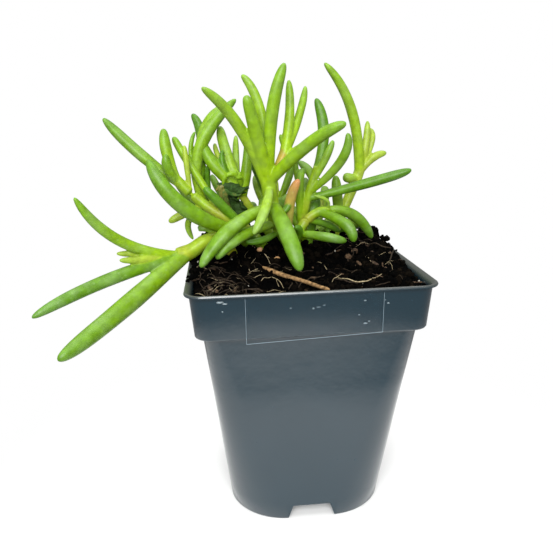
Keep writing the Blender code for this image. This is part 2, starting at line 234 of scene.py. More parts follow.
def add_attribute(mesh: Mesh, name: str, kind: str, values: list[float]) -> None:
    """Stores values on a mesh's points.

    Args:
        mesh: The mesh.
        name: The attribute's name.
        kind: FLOAT, FLOAT_VECTOR or FLOAT_COLOR.
        values: All numbers in one row.
    """
    field = {"FLOAT": "value", "FLOAT_VECTOR": "vector", "FLOAT_COLOR": "color"}[kind]
    mesh.attributes.new(name, kind, "POINT").data.foreach_set(field, values)


def remove(thing: Object) -> None:
    """Removes a helper object, which goes with its mesh."""
    bpy.data.meshes.remove(thing.data)


def add_modifier(thing: Object, tree: NodeTree, inputs: dict[str, Any]) -> None:
    """Adds a Geometry Nodes modifier and sets its inputs by their identifiers.

    Args:
        thing: The object.
        tree: The tree.
        inputs: The tree's inputs by name.
    """
    modifier = thing.modifiers.new(tree.name, "NODES")
    modifier.node_group = tree
    for item in tree.interface.items_tree:
        if item.item_type == "SOCKET" and item.in_out == "INPUT" and item.name in inputs:
            modifier[item.identifier] = inputs[item.name]


def apply_modifiers(thing: Object) -> None:
    """Turns what an object's modifiers make into its plain mesh, and removes them.

    Args:
        thing: The object.
    """
    bpy.context.view_layer.update()
    evaluated = thing.evaluated_get(bpy.context.evaluated_depsgraph_get())
    mesh = bpy.data.meshes.new_from_object(evaluated)
    mesh.name = thing.name
    thing.modifiers.clear()
    old = thing.data
    thing.data = mesh
    bpy.data.meshes.remove(old)


def hand_over(
    piece: Object,
    slot: str,
    replaced: Sequence[str] = (),
    finish: Material | None = None,
) -> None:
    """Puts a finished piece in its place on the CAD model.

    Args:
        piece: The piece, in metres from the middle of the pot's foot.
        slot: The record's material slot that its finish belongs to.
        replaced: The CAD nodes that the piece stands for.
        finish: The material for all of it, or None where its tree has set one.
    """
    if finish is not None:
        piece.data.materials.clear()
        piece.data.materials.append(finish)
    piece.data.transform(Matrix.Translation(PLACE * MM))
    piece.data.update()
    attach(piece, BODY)
    if replaced:
        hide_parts(*replaced)
    log.info("%s: %d faces, slot %s", piece.name, len(piece.data.polygons), slot)


class Hue(Enum):
    """How a leaf's colour departs from the plant's common green."""

    GREEN = "green"
    # The deep-shade and shaded hues are painted shade: a dark green and a dimmer green for leaves that lie
    # in shade
    DARK = "dark"
    SHADED = "shaded"
    YOUNG = "young"
    PALE = "pale"
    RED_TIPPED = "red tipped"
    WITHERED = "withered"


@dataclass(frozen=True)
class Leaf:
    """A fleshy leaf: its start as a share of its stem, its middle, its tip and its width.

    The base is how wide its root is as a share of its width.
    """

    start: float
    middle: Point
    tip: Point
    width: float
    hue: Hue = Hue.GREEN
    base: float = 0.68


@dataclass(frozen=True)
class Stem:
    """A stem through its points, its first and last width, and the leaves that grow on it.

    The tone runs from old to young, and the blush is how ruddy the stem is.
    """

    points: tuple[Point, ...]
    widths: Spot
    leaves: tuple[Leaf, ...]
    tone: float = 0.36
    blush: float = 0.02


@dataclass(frozen=True)
class Section:
    """A rounded square: its height, half of its width and its corner radius."""

    height: float
    half_width: float
    corner: float


@dataclass(frozen=True)
class Guide:
    """A centre line to sweep, with a half width, an upper side and marks at each point."""

    points: list[Vector]
    half_widths: list[float]
    uppers: list[Vector]
    marks: list[Marks]


# The living shoots. Each one's first stem stands in the soil, and the others grow out of it.
# Leaves of the deep-shade and shaded hues carry painted shade, and some wide deep-shade leaves fill dark
# gaps low among the stems
SHOOTS: dict[str, tuple[Stem, ...]] = {
    "shoot_centre": (
        Stem(
            points=((-3, 8, 104), (-8, 0, 114), (-11, -6, 124), (-12.5, -8.5, 138), (-12.5, -9, 144)),
            widths=(5.2, 6.6),
            leaves=(
                Leaf(0.74, (-22, -14, 152), (-35, -22, 166), 4.8, base=1.0),
                Leaf(0.82, (3, -18, 147.2), (14, -24, 153.2), 5.2, base=1.0),
                Leaf(0.86, (-14.3, -5, 158.5), (-20.5, -4, 171), 3.9, base=1.0),
                Leaf(0.8, (-17.4, -16, 152.5), (-20.1, -20, 163), 4.6, base=1.1),
                Leaf(0.86, (-10.6, -12, 158), (-6, -14, 174), 5.1, base=1.0),
                Leaf(0.2, (-3.4, 2, 119.5), (0.2, -2, 131.6), 4.4, Hue.RED_TIPPED),
                Leaf(0.79, (-14, -17, 124), (-19, -22, 115), 4.0, Hue.PALE),
                Leaf(0.66, (-27, -14, 116), (-39, -20, 103), 6.0),
                Leaf(0.68, (-7, -20, 115), (-3, -28, 102), 6.6),
                Leaf(0.52, (-24, -12, 112), (-33, -16, 105), 5.0),
                Leaf(0.45, (-14, -4, 109), (-21, -6, 108.5), 3.2, Hue.DARK),
                Leaf(0.56, (-4, 0, 121), (-2.5, 1, 125), 3.0, Hue.DARK),
            ),
        ),
        Stem(
            points=((-11.5, -7, 131), (-7.5, -5, 138), (-4.5, -3, 145)),
            widths=(4.4, 3.4),
            leaves=(
                Leaf(0.9, (-2.8, -1.5, 156), (-2.7, 0, 169), 3.9, base=1.05),
                Leaf(0.8, (0.8, 1, 155.5), (4.4, 6, 167), 3.6, base=1.1),
                Leaf(0.95, (-6, -3, 146.5), (-6.5, -2, 149), 2.0),
                Leaf(0.7, (1.5, -5, 145), (7, -6, 147.5), 3.4),
            ),
            blush=0.34,
        ),
    ),
    "shoot_left": (
        Stem(
            points=((-13, 8, 103), (-20, 5, 111), (-30.5, 3.5, 117.5), (-40, 5, 124.5), (-49, 6, 134)),
            widths=(4.8, 4.4),
            leaves=(
                Leaf(0.93, (-61, 9, 142.4), (-75, 12, 156.6), 5.2, Hue.SHADED),
                Leaf(0.42, (-43, -7, 122), (-57, -6, 141), 6.8, Hue.SHADED),
                Leaf(0.97, (-51.2, 7, 143), (-51.8, 8, 152), 5.3),
                Leaf(0.95, (-50.5, 3, 136.5), (-51, 2, 142.5), 4.0),
                Leaf(0.6, (-43.2, 11, 139), (-48.4, 14, 148.6), 3.8),
                Leaf(0.86, (-43.5, 5.5, 138), (-44, 6, 145.5), 2.8, Hue.YOUNG),
                Leaf(0.36, (-30, 1, 122.5), (-36.5, 0, 129.5), 4.4, Hue.DARK),
                Leaf(0.7, (-44, 9, 116), (-43, 9, 108), 3.0, Hue.PALE),
                Leaf(0.75, (-46, 7, 118.8), (-51.5, 6, 116), 3.9, Hue.YOUNG),
                Leaf(0.28, (-22, -1, 111), (-27, -6, 114), 4.0, Hue.DARK),
            ),
        ),
    ),
    "shoot_front_left": (
        Stem(
            points=(
                (-27, 13, 100.5), (-31, 9, 106.5), (-37, 5.5, 107.2), (-43, 4, 103.8),
                (-48.5, 2.5, 101.8),
            ),
            widths=(5.4, 7.4),
            leaves=(
                Leaf(0.98, (-70, -7, 111), (-83, -16, 129), 4.7, base=0.9),
                Leaf(0.97, (-76, -13, 97), (-99, -28, 89), 5.0, base=1.0),
                Leaf(0.95, (-71.6, -18, 85.7), (-89.6, -36, 75.6), 7.6, base=0.92),
                Leaf(0.97, (-61, -2, 104.4), (-71.3, -6, 106), 3.2, Hue.YOUNG),
                Leaf(0.97, (-60, -4, 102.8), (-69.7, -10, 104.2), 3.4, Hue.YOUNG),
                Leaf(0.42, (-35, 9, 111), (-40, 9, 111.5), 2.8),
            ),
            tone=0.95,
            blush=0.04,
        ),
    ),
    "shoot_back_left": (
        Stem(
            points=((-19, 18, 102), (-28, 15, 111), (-35, 13.5, 118), (-39, 13, 126), (-40, 13, 131)),
            widths=(4.2, 3.4),
            leaves=(
                Leaf(0.9, (-38, 13, 145), (-23, 16, 163), 5.6),
                Leaf(0.96, (-36.9, 17, 150), (-27.8, 18, 160.6), 4.2),
                Leaf(0.94, (-37.4, 19, 147), (-40.6, 22, 157.5), 4.4, Hue.DARK),
                Leaf(0.97, (-42, 15, 142), (-40, 17, 150.5), 2.2),
                Leaf(0.55, (-36, 26, 116), (-42, 38, 120), 4.8),
                Leaf(0.75, (-44, 20, 124), (-50, 26, 132), 4.0),
                Leaf(0.7, (-36.2, 17, 128), (-35.2, 15, 136.5), 3.6, Hue.DARK),
            ),
        ),
    ),
    "shoot_back_centre": (
        Stem(
            points=((-8, 17, 104.5), (-14, 14, 113), (-20, 12, 122), (-24, 10.5, 130)),
            widths=(4.2, 3.2),
            leaves=(
                Leaf(0.9, (-19.3, 11, 138.1), (-18.6, 14, 147.6), 4.6, base=1.1),
                Leaf(0.95, (-23.5, 16, 139), (-23, 22, 148.5), 3.0, Hue.PALE),
                Leaf(0.95, (-27.6, 15, 142.5), (-29.6, 20, 152.3), 4.6, base=1.15),
                Leaf(0.97, (-30, 16, 139), (-32, 20, 145.5), 2.4, Hue.YOUNG),
                Leaf(0.97, (-33.3, 12, 138.8), (-36.4, 14, 146), 5.6, base=1.1),
                Leaf(0.95, (-28.5, 10.5, 136), (-29, 12, 143), 2.8, Hue.DARK),
                Leaf(0.5, (-12, 24, 118), (-10, 34, 124), 4.8),
                Leaf(0.4, (-6, 19, 117), (-1, 22, 123), 4.2),
                Leaf(0.82, (-26, 8, 129), (-32, 6, 128), 2.6, Hue.WITHERED),
            ),
        ),
    ),
    "shoot_right_of_centre": (
        Stem(
            points=((4, 13, 104), (3, 9, 112), (5, 6, 124), (9, 5.5, 136)),
            widths=(4.2, 3.2),
            leaves=(
                Leaf(0.95, (12.6, 11, 148.5), (10.1, 14, 162.5), 4.8, Hue.DARK),
                Leaf(0.88, (11.6, 4.5, 138.5), (15, 4, 146), 3.6),
                Leaf(0.8, (17.6, 0.5, 138.5), (19.8, -2, 148.8), 4.4),
                Leaf(0.75, (29, 1, 129.6), (44.6, -4, 134.5), 4.8, Hue.DARK),
                Leaf(0.7, (1, 8, 132), (1, 9, 141.5), 2.6),
                Leaf(0.3, (1.4, 5, 127), (4, 9, 134.5), 3.6),
                Leaf(0.86, (7.7, 13, 132.6), (3.2, 17, 137.4), 4.2),
                Leaf(0.42, (-2, 11, 117), (-8, 10, 123), 4.0),
                Leaf(0.6, (6, 14, 123), (6, 20, 130), 4.2),
                Leaf(0.12, (7.4, 12.5, 114.5), (10.4, 14.5, 120.5), 6.0, Hue.DARK),
            ),
        ),
    ),
    "shoot_right": (
        Stem(
            points=((18, 20, 102.5), (20, 20.5, 109), (24, 21, 118), (28.7, 22, 128), (30.7, 22, 134)),
            widths=(4.6, 4.5),
            leaves=(
                Leaf(0.97, (25.9, 19, 158.5), (14.2, 16, 176.4), 4.6, base=1.0),
                Leaf(0.95, (33, 23, 143), (34, 24, 153), 3.2, Hue.YOUNG, base=1.1),
                Leaf(0.94, (36.3, 25, 144.6), (35.6, 28, 149.8), 3.0, Hue.YOUNG),
                Leaf(0.92, (35.5, 22, 137.7), (41.6, 22, 139.8), 4.0, Hue.YOUNG),
                Leaf(0.9, (25.9, 20.5, 129.7), (23.2, 20, 130.5), 5.0, Hue.PALE),
                Leaf(0.52, (19.4, 16, 122.2), (18.4, 15, 130.9), 4.9),
                Leaf(0.5, (30, 31, 108), (34, 42, 104), 4.6),
                Leaf(0.16, (19.5, 27, 105.8), (28.5, 29, 105.6), 6.4, Hue.DARK),
            ),
            tone=0.8,
        ),
    ),
    "shoot_front_right": (
        Stem(
            points=(
                (-1.5, -1.5, 101.5), (-0.5, -0.5, 109), (4, 1, 115.5), (9, 1.5, 118.5),
                (13, 1, 118.5),
            ),
            widths=(4.2, 3.8),
            leaves=(
                Leaf(0.95, (23, 2.5, 116.5), (32, 6, 106), 5.0),
                Leaf(0.9, (18.9, -5, 113.9), (21.3, -7, 107.5), 5.2),
                Leaf(0.6, (8.8, -7, 110), (17.9, -8, 107.8), 4.4),
                Leaf(0.75, (12, 4, 113), (18, 5, 109.5), 3.6, Hue.DARK),
                Leaf(0.97, (12, -2, 123), (6.5, -3, 125.5), 1.8, Hue.PALE),
                Leaf(0.5, (0, -5, 112), (-2, -8, 114), 3.2, Hue.DARK),
            ),
        ),
    ),
    "shoot_rear_left": (
        Stem(
            points=((-20, 29, 101), (-23, 33, 108), (-26, 37, 116)),
            widths=(4.0, 3.2),
            leaves=(
                Leaf(0.95, (-31, 42, 124), (-34, 47, 130), 4.2),
                Leaf(0.95, (-22, 43, 124), (-19, 47, 132), 4.4),
                Leaf(0.7, (-36, 46, 113), (-47, 56, 110), 5.0),
                Leaf(0.7, (-18, 46, 114), (-14, 58, 113), 5.2),
                Leaf(0.96, (-27, 39, 122), (-27, 40, 126), 2.4, Hue.YOUNG),
                Leaf(0.5, (-12, 36, 109), (-5, 43, 108), 4.4),
                Leaf(0.5, (-33, 32, 108), (-41, 33, 108), 4.4),
            ),
        ),
    ),
    "shoot_rear_right": (
        Stem(
            points=((12, 31, 101), (14, 35, 107), (16, 38, 113)),
            widths=(4.0, 3.2),
            leaves=(
                Leaf(0.95, (19, 45, 119), (20, 53, 122), 4.6),
                Leaf(0.95, (12, 41, 121), (8, 43, 128), 4.2),
                Leaf(0.7, (23, 43, 108), (30, 54, 104), 5.0),
                Leaf(0.7, (6, 44, 112), (1, 54, 110), 5.0),
                Leaf(0.96, (17, 40, 118), (18, 41, 122), 2.4, Hue.YOUNG),
                Leaf(0.6, (21, 32, 108), (28, 36, 107), 4.2),
            ),
        ),
    ),
    "shoot_rear_centre": (
        Stem(
            points=((-4, 29, 102), (-4, 32, 110), (-5, 34, 119)),
            widths=(4.0, 3.2),
            leaves=(
                Leaf(0.95, (-9, 38, 128), (-11, 42, 137), 4.2),
                Leaf(0.95, (0, 35, 128), (3, 36, 137), 4.2),
                Leaf(0.75, (-3, 44, 118), (-3, 55, 120), 4.8),
                Leaf(0.96, (-5, 36, 124), (-5, 37, 128), 2.4, Hue.YOUNG),
                Leaf(0.55, (4, 36, 113), (9, 41, 116), 4.4),
                Leaf(0.55, (-13, 30, 113), (-19, 31, 118), 4.4),
                Leaf(0.8, (-13.7, 25, 133.2), (-16, 26, 141.6), 5.0, Hue.DARK),
                Leaf(0.6, (-12.4, 29, 122.3), (-14.2, 32, 130.8), 4.6, Hue.PALE),
            ),
        ),
    ),
}


def catmull_rom(points: Sequence[Vector], steps: int) -> list[Vector]:
    """A smooth curve through points.

    Args:
        points: The points that it passes through.
        steps: How many pieces each span between two of them gets.

    Returns:
        The points along the curve, both ends included.
    """
    known = [2 * points[0] - points[1], *points, 2 * points[-1] - points[-2]]
    path = []
    for before, start, end, after in zip(known, known[1:], known[2:], known[3:]):
        for step in range(steps):
            t = step / steps
            pull = (end - before) * t + (2 * before - 5 * start + 4 * end - after) * t**2
            path.append(start + (pull + (3 * start - before - 3 * end + after) * t**3) / 2)
    path.append(known[-2].copy())
    return path


def point_along(path: Sequence[Vector], share: float) -> tuple[Vector, Vector]:
    """Finds a place on a path.

    Args:
        path: The path's points.
        share: How far along it the place lies, from 0 to 1.

    Returns:
        The place, and the path's direction there.
    """
    lengths = [(end - start).length for start, end in zip(path, path[1:])]
    left = share * sum(lengths)
    for start, end, length in zip(path, path[1:], lengths):
        if left <= length:
            return start.lerp(end, left / length), (end - start).normalized()
        left -= length
    return path[-1].copy(), (path[-1] - path[-2]).normalized()


def between(table: Sequence[Spot], place: float) -> float:
    """Reads a value from a table.

    Args:
        table: Rows of a place and its value, in order of place.
        place: The place to read it at.

    Returns:
        The value, on a straight line from row to row.
    """
    for (start, low), (end, high) in zip(table, table[1:]):
        if place <= end:
            return low + (high - low) * (place - start) / (end - start)
    return table[-1][1]


def bell(distance: float, reach: float) -> float:
    """A soft bump, 1 at no distance, that fades over its reach."""
    return math.exp(-((distance / reach) ** 2))


def guide_object(name: str, guides: Sequence[Guide]) -> Object:
    """Centre lines as one object of bare edges that carries what the sweep reads.

    Args:
        name: The object's name.
        guides: The centre lines, in millimetres.

    Returns:
        The object, with half_width, upper and marks on its points.
    """
    places: list[Vector] = []
    edges: list[tuple[int, int]] = []
    for guide in guides:
        first = len(places)
        places += [point * MM for point in guide.points]
        edges += [(first + step, first + step + 1) for step in range(len(guide.points) - 1)]
    mesh = bpy.data.meshes.new(name)
    mesh.from_pydata(places, edges, [])
    widths = [width * MM for guide in guides for width in guide.half_widths]
    add_attribute(mesh, "half_width", "FLOAT", widths)
    uppers = [axis for guide in guides for side in guide.uppers for axis in side]
    add_attribute(mesh, "upper", "FLOAT_VECTOR", uppers)
    marks = [share for guide in guides for mark in guide.marks for share in mark]
    add_attribute(mesh, "marks", "FLOAT_COLOR", marks)
    return new_object(name, mesh)


@dataclass(frozen=True)
class SweepTree:
    """Geometry Nodes that sweep a rounded section along every guide line."""

    name: str = "sweep_along_guides"
    groove_sharpness: float = 6.0

    def build(self) -> NodeTree:
        """Builds the tree.

        Returns:
            The tree, with the inputs Sides, Thickness, Flatness, Groove and Finish.
        """
        inputs = {"Sides": "Int", "Thickness": "Float", "Flatness": "Float", "Groove": "Float"}
        tree, given = new_geometry_tree(self.name, inputs)
        upper = add_node(
            tree, "GeometryNodeInputNamedAttribute", {"Name": "upper"}, data_type="FLOAT_VECTOR"
        )
        width = add_node(tree, "GeometryNodeInputNamedAttribute", {"Name": "half_width"})
        lines = add_node(tree, "GeometryNodeMeshToCurve", {"Mesh": given["Geometry"]})
        turned = add_node(
            tree, "GeometryNodeSetCurveNormal", {"Curve": lines, "Normal": upper}, mode="FREE"
        )
        shape = {"Curve": turned, "Profile Curve": self.section(tree, given), "Scale": width}
        swept = add_node(tree, "GeometryNodeCurveToMesh", {**shape, "Fill Caps": True})
        smooth = add_node(tree, "GeometryNodeSetShadeSmooth", {"Geometry": swept})
        end_geometry_tree(tree, smooth, given["Finish"])
        return tree

    def section(self, tree: NodeTree, given: bpy_prop_collection) -> Node:
        """A circle whose upper half is flattened, with a shallow groove along its middle.

        Args:
            tree: The tree that gets the nodes.
            given: The group input's outputs.

        Returns:
            The node that gives the section as a curve. Its x is the upper side.
        """
        circle = add_node(tree, "GeometryNodeCurvePrimitiveCircle", {"Resolution": given["Sides"]})
        place = add_node(tree, "GeometryNodeInputPosition")
        axes = add_node(tree, "ShaderNodeSeparateXYZ", {0: place}).outputs
        top = add_node(tree, "ShaderNodeMath", {0: axes["X"], 1: 0.0}, operation="MAXIMUM")
        flat = add_node(tree, "ShaderNodeMath", {0: top, 1: given["Flatness"]}, operation="MULTIPLY")
        crest = add_node(tree, "ShaderNodeMath", {0: top, 1: self.groove_sharpness}, operation="POWER")
        cut = add_node(tree, "ShaderNodeMath", {0: crest, 1: given["Groove"]}, operation="MULTIPLY")
        both = add_node(tree, "ShaderNodeMath", {0: flat, 1: cut})
        low = add_node(tree, "ShaderNodeMath", {0: axes["X"], 1: both}, operation="SUBTRACT")
        thin = add_node(tree, "ShaderNodeMath", {0: low, 1: given["Thickness"]}, operation="MULTIPLY")
        shaped = add_node(tree, "ShaderNodeCombineXYZ", {"X": thin, "Y": axes["Y"]})
        return add_node(tree, "GeometryNodeSetPosition", {"Geometry": circle, "Position": shaped})


@dataclass(frozen=True)
class CarryMarksTree:
    """Geometry Nodes that carry the marks of an unfused object over to its fused skin."""

    name: str = "carry_marks"
    blur: int = 3

    def build(self) -> NodeTree:
        """Builds the tree.

        Returns:
            The tree, with the inputs Source and Finish.
        """
        tree, given = new_geometry_tree(self.name, {"Source": "Object"})
        source = add_node(tree, "GeometryNodeObjectInfo", {"Object": given["Source"]})
        colour = {"data_type": "FLOAT_COLOR"}
        marks = add_node(tree, "GeometryNodeInputNamedAttribute", {"Name": "marks"}, **colour)
        read = {"Mesh": output_of(source, "Geometry"), "Value": marks}
        nearest = add_node(tree, "GeometryNodeSampleNearestSurface", read, **colour)
        soft = {"Value": nearest, "Iterations": self.blur}
        blurred = add_node(tree, "GeometryNodeBlurAttribute", soft, **colour)
        kept = {"Geometry": given["Geometry"], "Name": "marks", "Value": blurred}
        stored = add_node(tree, "GeometryNodeStoreNamedAttribute", kept, **colour)
        end_geometry_tree(tree, stored, given["Finish"])
        return tree


@dataclass(frozen=True)
class ScatterTree:
    """Geometry Nodes that set a shape on every point, each turned and dented at random."""

    name: str = "scatter_bits"

    def build(self) -> NodeTree:
        """Builds the tree.

        Returns:
            The tree, with the inputs Shape, Tilt, Dents, Dent Size, Seed and Finish.
        """
        inputs = {"Shape": "Object", "Tilt": "Float", "Dents": "Float", "Dent Size": "Float"}
        tree, given = new_geometry_tree(self.name, {**inputs, "Seed": "Int"})
        shape = add_node(tree, "GeometryNodeObjectInfo", {"Object": given["Shape"]})
        size = add_node(
            tree, "GeometryNodeInputNamedAttribute", {"Name": "size"}, data_type="FLOAT_VECTOR"
        )
        repeat = {"Points": given["Geometry"], "Instance": output_of(shape, "Geometry")}
        repeat |= {"Rotation": self.turn(tree, given), "Scale": size}
        bits = add_node(tree, "GeometryNodeInstanceOnPoints", repeat)
        # The bits are made real before they are dented, so that no two dent alike
        solid = add_node(tree, "GeometryNodeRealizeInstances", {"Geometry": bits})
        push = {"Geometry": solid, "Offset": self.dent(tree, given)}
        dented = add_node(tree, "GeometryNodeSetPosition", push)
        end_geometry_tree(tree, dented, given["Finish"])
        return tree

    def turn(self, tree: NodeTree, given: bpy_prop_collection) -> Node:
        """A random turn: any heading, and a lean of up to Tilt.

        Args:
            tree: The tree that gets the nodes.
            given: The group input's outputs.

        Returns:
            The node that gives the turn.
        """
        span = {"X": given["Tilt"], "Y": given["Tilt"], "Z": math.pi}
        most = add_node(tree, "ShaderNodeCombineXYZ", span)
        least = add_node(tree, "ShaderNodeVectorMath", {0: most, "Scale": -1.0}, operation="SCALE")
        limits = {"Min": least, "Max": most, "Seed": given["Seed"]}
        drawn = add_node(tree, "FunctionNodeRandomValue", limits, data_type="FLOAT_VECTOR")
        return add_node(tree, "FunctionNodeEulerToRotation", {0: drawn})

    def dent(self, tree: NodeTree, given: bpy_prop_collection) -> Node:
        """A push along the normal from noise of Dent Size, of up to half of Dents either way.

        Args:
            tree: The tree that gets the nodes.
            given: The group input's outputs.

        Returns:
            The node that gives the push.
        """
        grain = {"Vector": add_node(tree, "GeometryNodeInputPosition"), "Scale": given["Dent Size"]}
        lumps = add_node(tree, "ShaderNodeTexNoise", {**grain, "Detail": 1.0})
        even = add_node(tree, "ShaderNodeMath", {0: lumps, 1: 0.5}, operation="SUBTRACT")
        deep = add_node(tree, "ShaderNodeMath", {0: even, 1: given["Dents"]}, operation="MULTIPLY")
        normal = add_node(tree, "GeometryNodeInputNormal")
        return add_node(tree, "ShaderNodeVectorMath", {0: normal, "Scale": deep}, operation="SCALE")


@dataclass(frozen=True)
class LeafFlesh:
    """Living leaf flesh: watery tissue under a thin, faintly waxy skin of bladder cells.

    It gives the eye a soft gloss over a green that glows a little where light soaks in, with
    cloudy patches, pale flecks of wax, and pale patches that are partly a thin wax veil and
    partly painted sheen. The real cells are finer, and are drawn as coarse as they need to show.
    """

    base: str = "#8EAF0A"
    middle: str = "#7DA114"
    tip: str = "#6C9520"
    # The old green is also painted shade, on the deep-shade and shaded leaves
    old: str = "#2F6608"
    young: str = "#9AB03A"
    blush: str = "#D0805A"
    # The bloom colour is the wax's own, and the veil also paints sheen with it
    bloom: str = "#95B27A"
    middle_place: float = 0.4
    even_tone: float = 0.5
    roughness: float = 0.4
    ior: float = 1.42
    shine: float = 0.38
    mottle_size: float = 2.6
    mottle_light: Spot = (0.78, 1.14)
    fleck_size: float = 2.2
    # Each edge: where its pattern starts to show, and where it shows in full
    fleck_edge: Spot = (0.3, 0.06)
    fleck_strength: float = 0.22
    wax_and_sheen_size: float = 7.0
    wax_and_sheen_edge: Spot = (0.42, 0.7)
    wax_and_sheen_strength: float = 0.32
    cell_size: float = 0.55
    cell_relief: float = 0.12
    wave_relief: float = 0.35
    subsurface: float = 0.22
    depth: float = 1.6
    # How much farther red and green light soak in than blue
    soak: Point = (0.9, 1.0, 0.25)

    def material(self) -> Material:
        """Builds the material.

        Returns:
            A material that reads marks: red is the share along the leaf, green the tone from
            old to young, blue the blush, and alpha the waxy bloom, whose veil is partly painted sheen.
        """
        made, shader, place = new_material("living_leaf_flesh")
        tree = made.node_tree
        marks = add_node(tree, "ShaderNodeAttribute", attribute_name="marks").outputs
        parts = add_node(tree, "ShaderNodeSeparateColor", {0: marks["Color"]}).outputs
        # From the yellow-green clasping base to a duller, darker tip
        colour = add_node(tree, "ShaderNodeValToRGB", {0: parts["Red"]})
        stops = colour.color_ramp.elements
        stops[0].color = linear(self.base)
        stops[1].color = linear(self.tip)
        stops.new(self.middle_place).color = linear(self.middle)
        # A low tone leans to the old green, and a high one to the young green. The low tones of the
        # deep-shade and shaded hues are painted shade.
        for end, tint in ((0.0, self.old), (1.0, self.young)):
            span = {"Value": parts["Green"], "From Min": self.even_tone, "From Max": end}
            mix = {"Factor": add_node(tree, "ShaderNodeMapRange", span), "A": colour, "B": linear(tint)}
            colour = add_node(tree, "ShaderNodeMix", mix, data_type="RGBA")
        mix = {"Factor": parts["Blue"], "A": colour, "B": linear(self.blush)}
        blushed = add_node(tree, "ShaderNodeMix", mix, data_type="RGBA")
        grain = {"Vector": place, "Scale": per_mm(self.mottle_size), "Detail": 3.0}
        mottle = add_node(tree, "ShaderNodeTexNoise", grain)
        dim, bright = self.mottle_light
        span = {"Value": mottle, "From Min": 0.3, "From Max": 0.7, "To Min": dim, "To Max": bright}
        light = add_node(tree, "ShaderNodeMapRange", span)
        shaded = add_node(tree, "ShaderNodeHueSaturation", {"Color": blushed, "Value": light})
        # Pale bladder cells show as scattered flecks, more of them where the bloom is thick
        grain = {"Vector": place, "Scale": per_mm(self.fleck_size)}
        flecks = add_node(tree, "ShaderNodeTexVoronoi", grain).outputs
        far, near = self.fleck_edge
        span = {"Value": flecks["Distance"], "From Min": far, "From Max": near}
        dots = add_node(tree, "ShaderNodeMapRange", {**span, "To Max": self.fleck_strength})
        # A pale veil lies in soft patches between them, partly thin wax and partly painted sheen
        grain = {"Vector": place, "Scale": per_mm(self.wax_and_sheen_size), "Detail": 2.0}
        low, high = self.wax_and_sheen_edge
        span = {"Value": add_node(tree, "ShaderNodeTexNoise", grain), "From Min": low, "From Max": high}
        wax_and_sheen = add_node(tree, "ShaderNodeMapRange", {**span, "To Max": self.wax_and_sheen_strength})
        cover = add_node(tree, "ShaderNodeMath", {0: dots, 1: wax_and_sheen}, operation="ADD")
        waxy = add_node(tree, "ShaderNodeMath", {0: cover, 1: marks["Alpha"]}, operation="MULTIPLY")
        mix = {"Factor": waxy, "A": shaded, "B": linear(self.bloom)}
        flecked = add_node(tree, "ShaderNodeMix", mix, data_type="RGBA")
        grain = {"Vector": place, "Scale": per_mm(self.cell_size)}
        cells = add_node(tree, "ShaderNodeTexVoronoi", grain, feature="SMOOTH_F1").outputs
        relief = {"Height": cells["Distance"], "Strength": 0.12, "Distance": self.cell_relief * MM}
        bump = add_node(tree, "ShaderNodeBump", relief, invert=True)
        relief = {"Height": mottle, "Strength": 0.35, "Distance": self.wave_relief * MM}
        waves = add_node(tree, "ShaderNodeBump", {**relief, "Normal": bump})
        set_inputs(tree, shader, {"Base Color": flecked, "Normal": waves})
        set_inputs(tree, shader, {"Roughness": self.roughness, "IOR": self.ior})
        set_inputs(tree, shader, {"Specular IOR Level": self.shine})
        set_inputs(tree, shader, {"Subsurface Weight": self.subsurface, "Subsurface Radius": self.soak})
        set_inputs(tree, shader, {"Subsurface Scale": self.depth * MM})
        return made


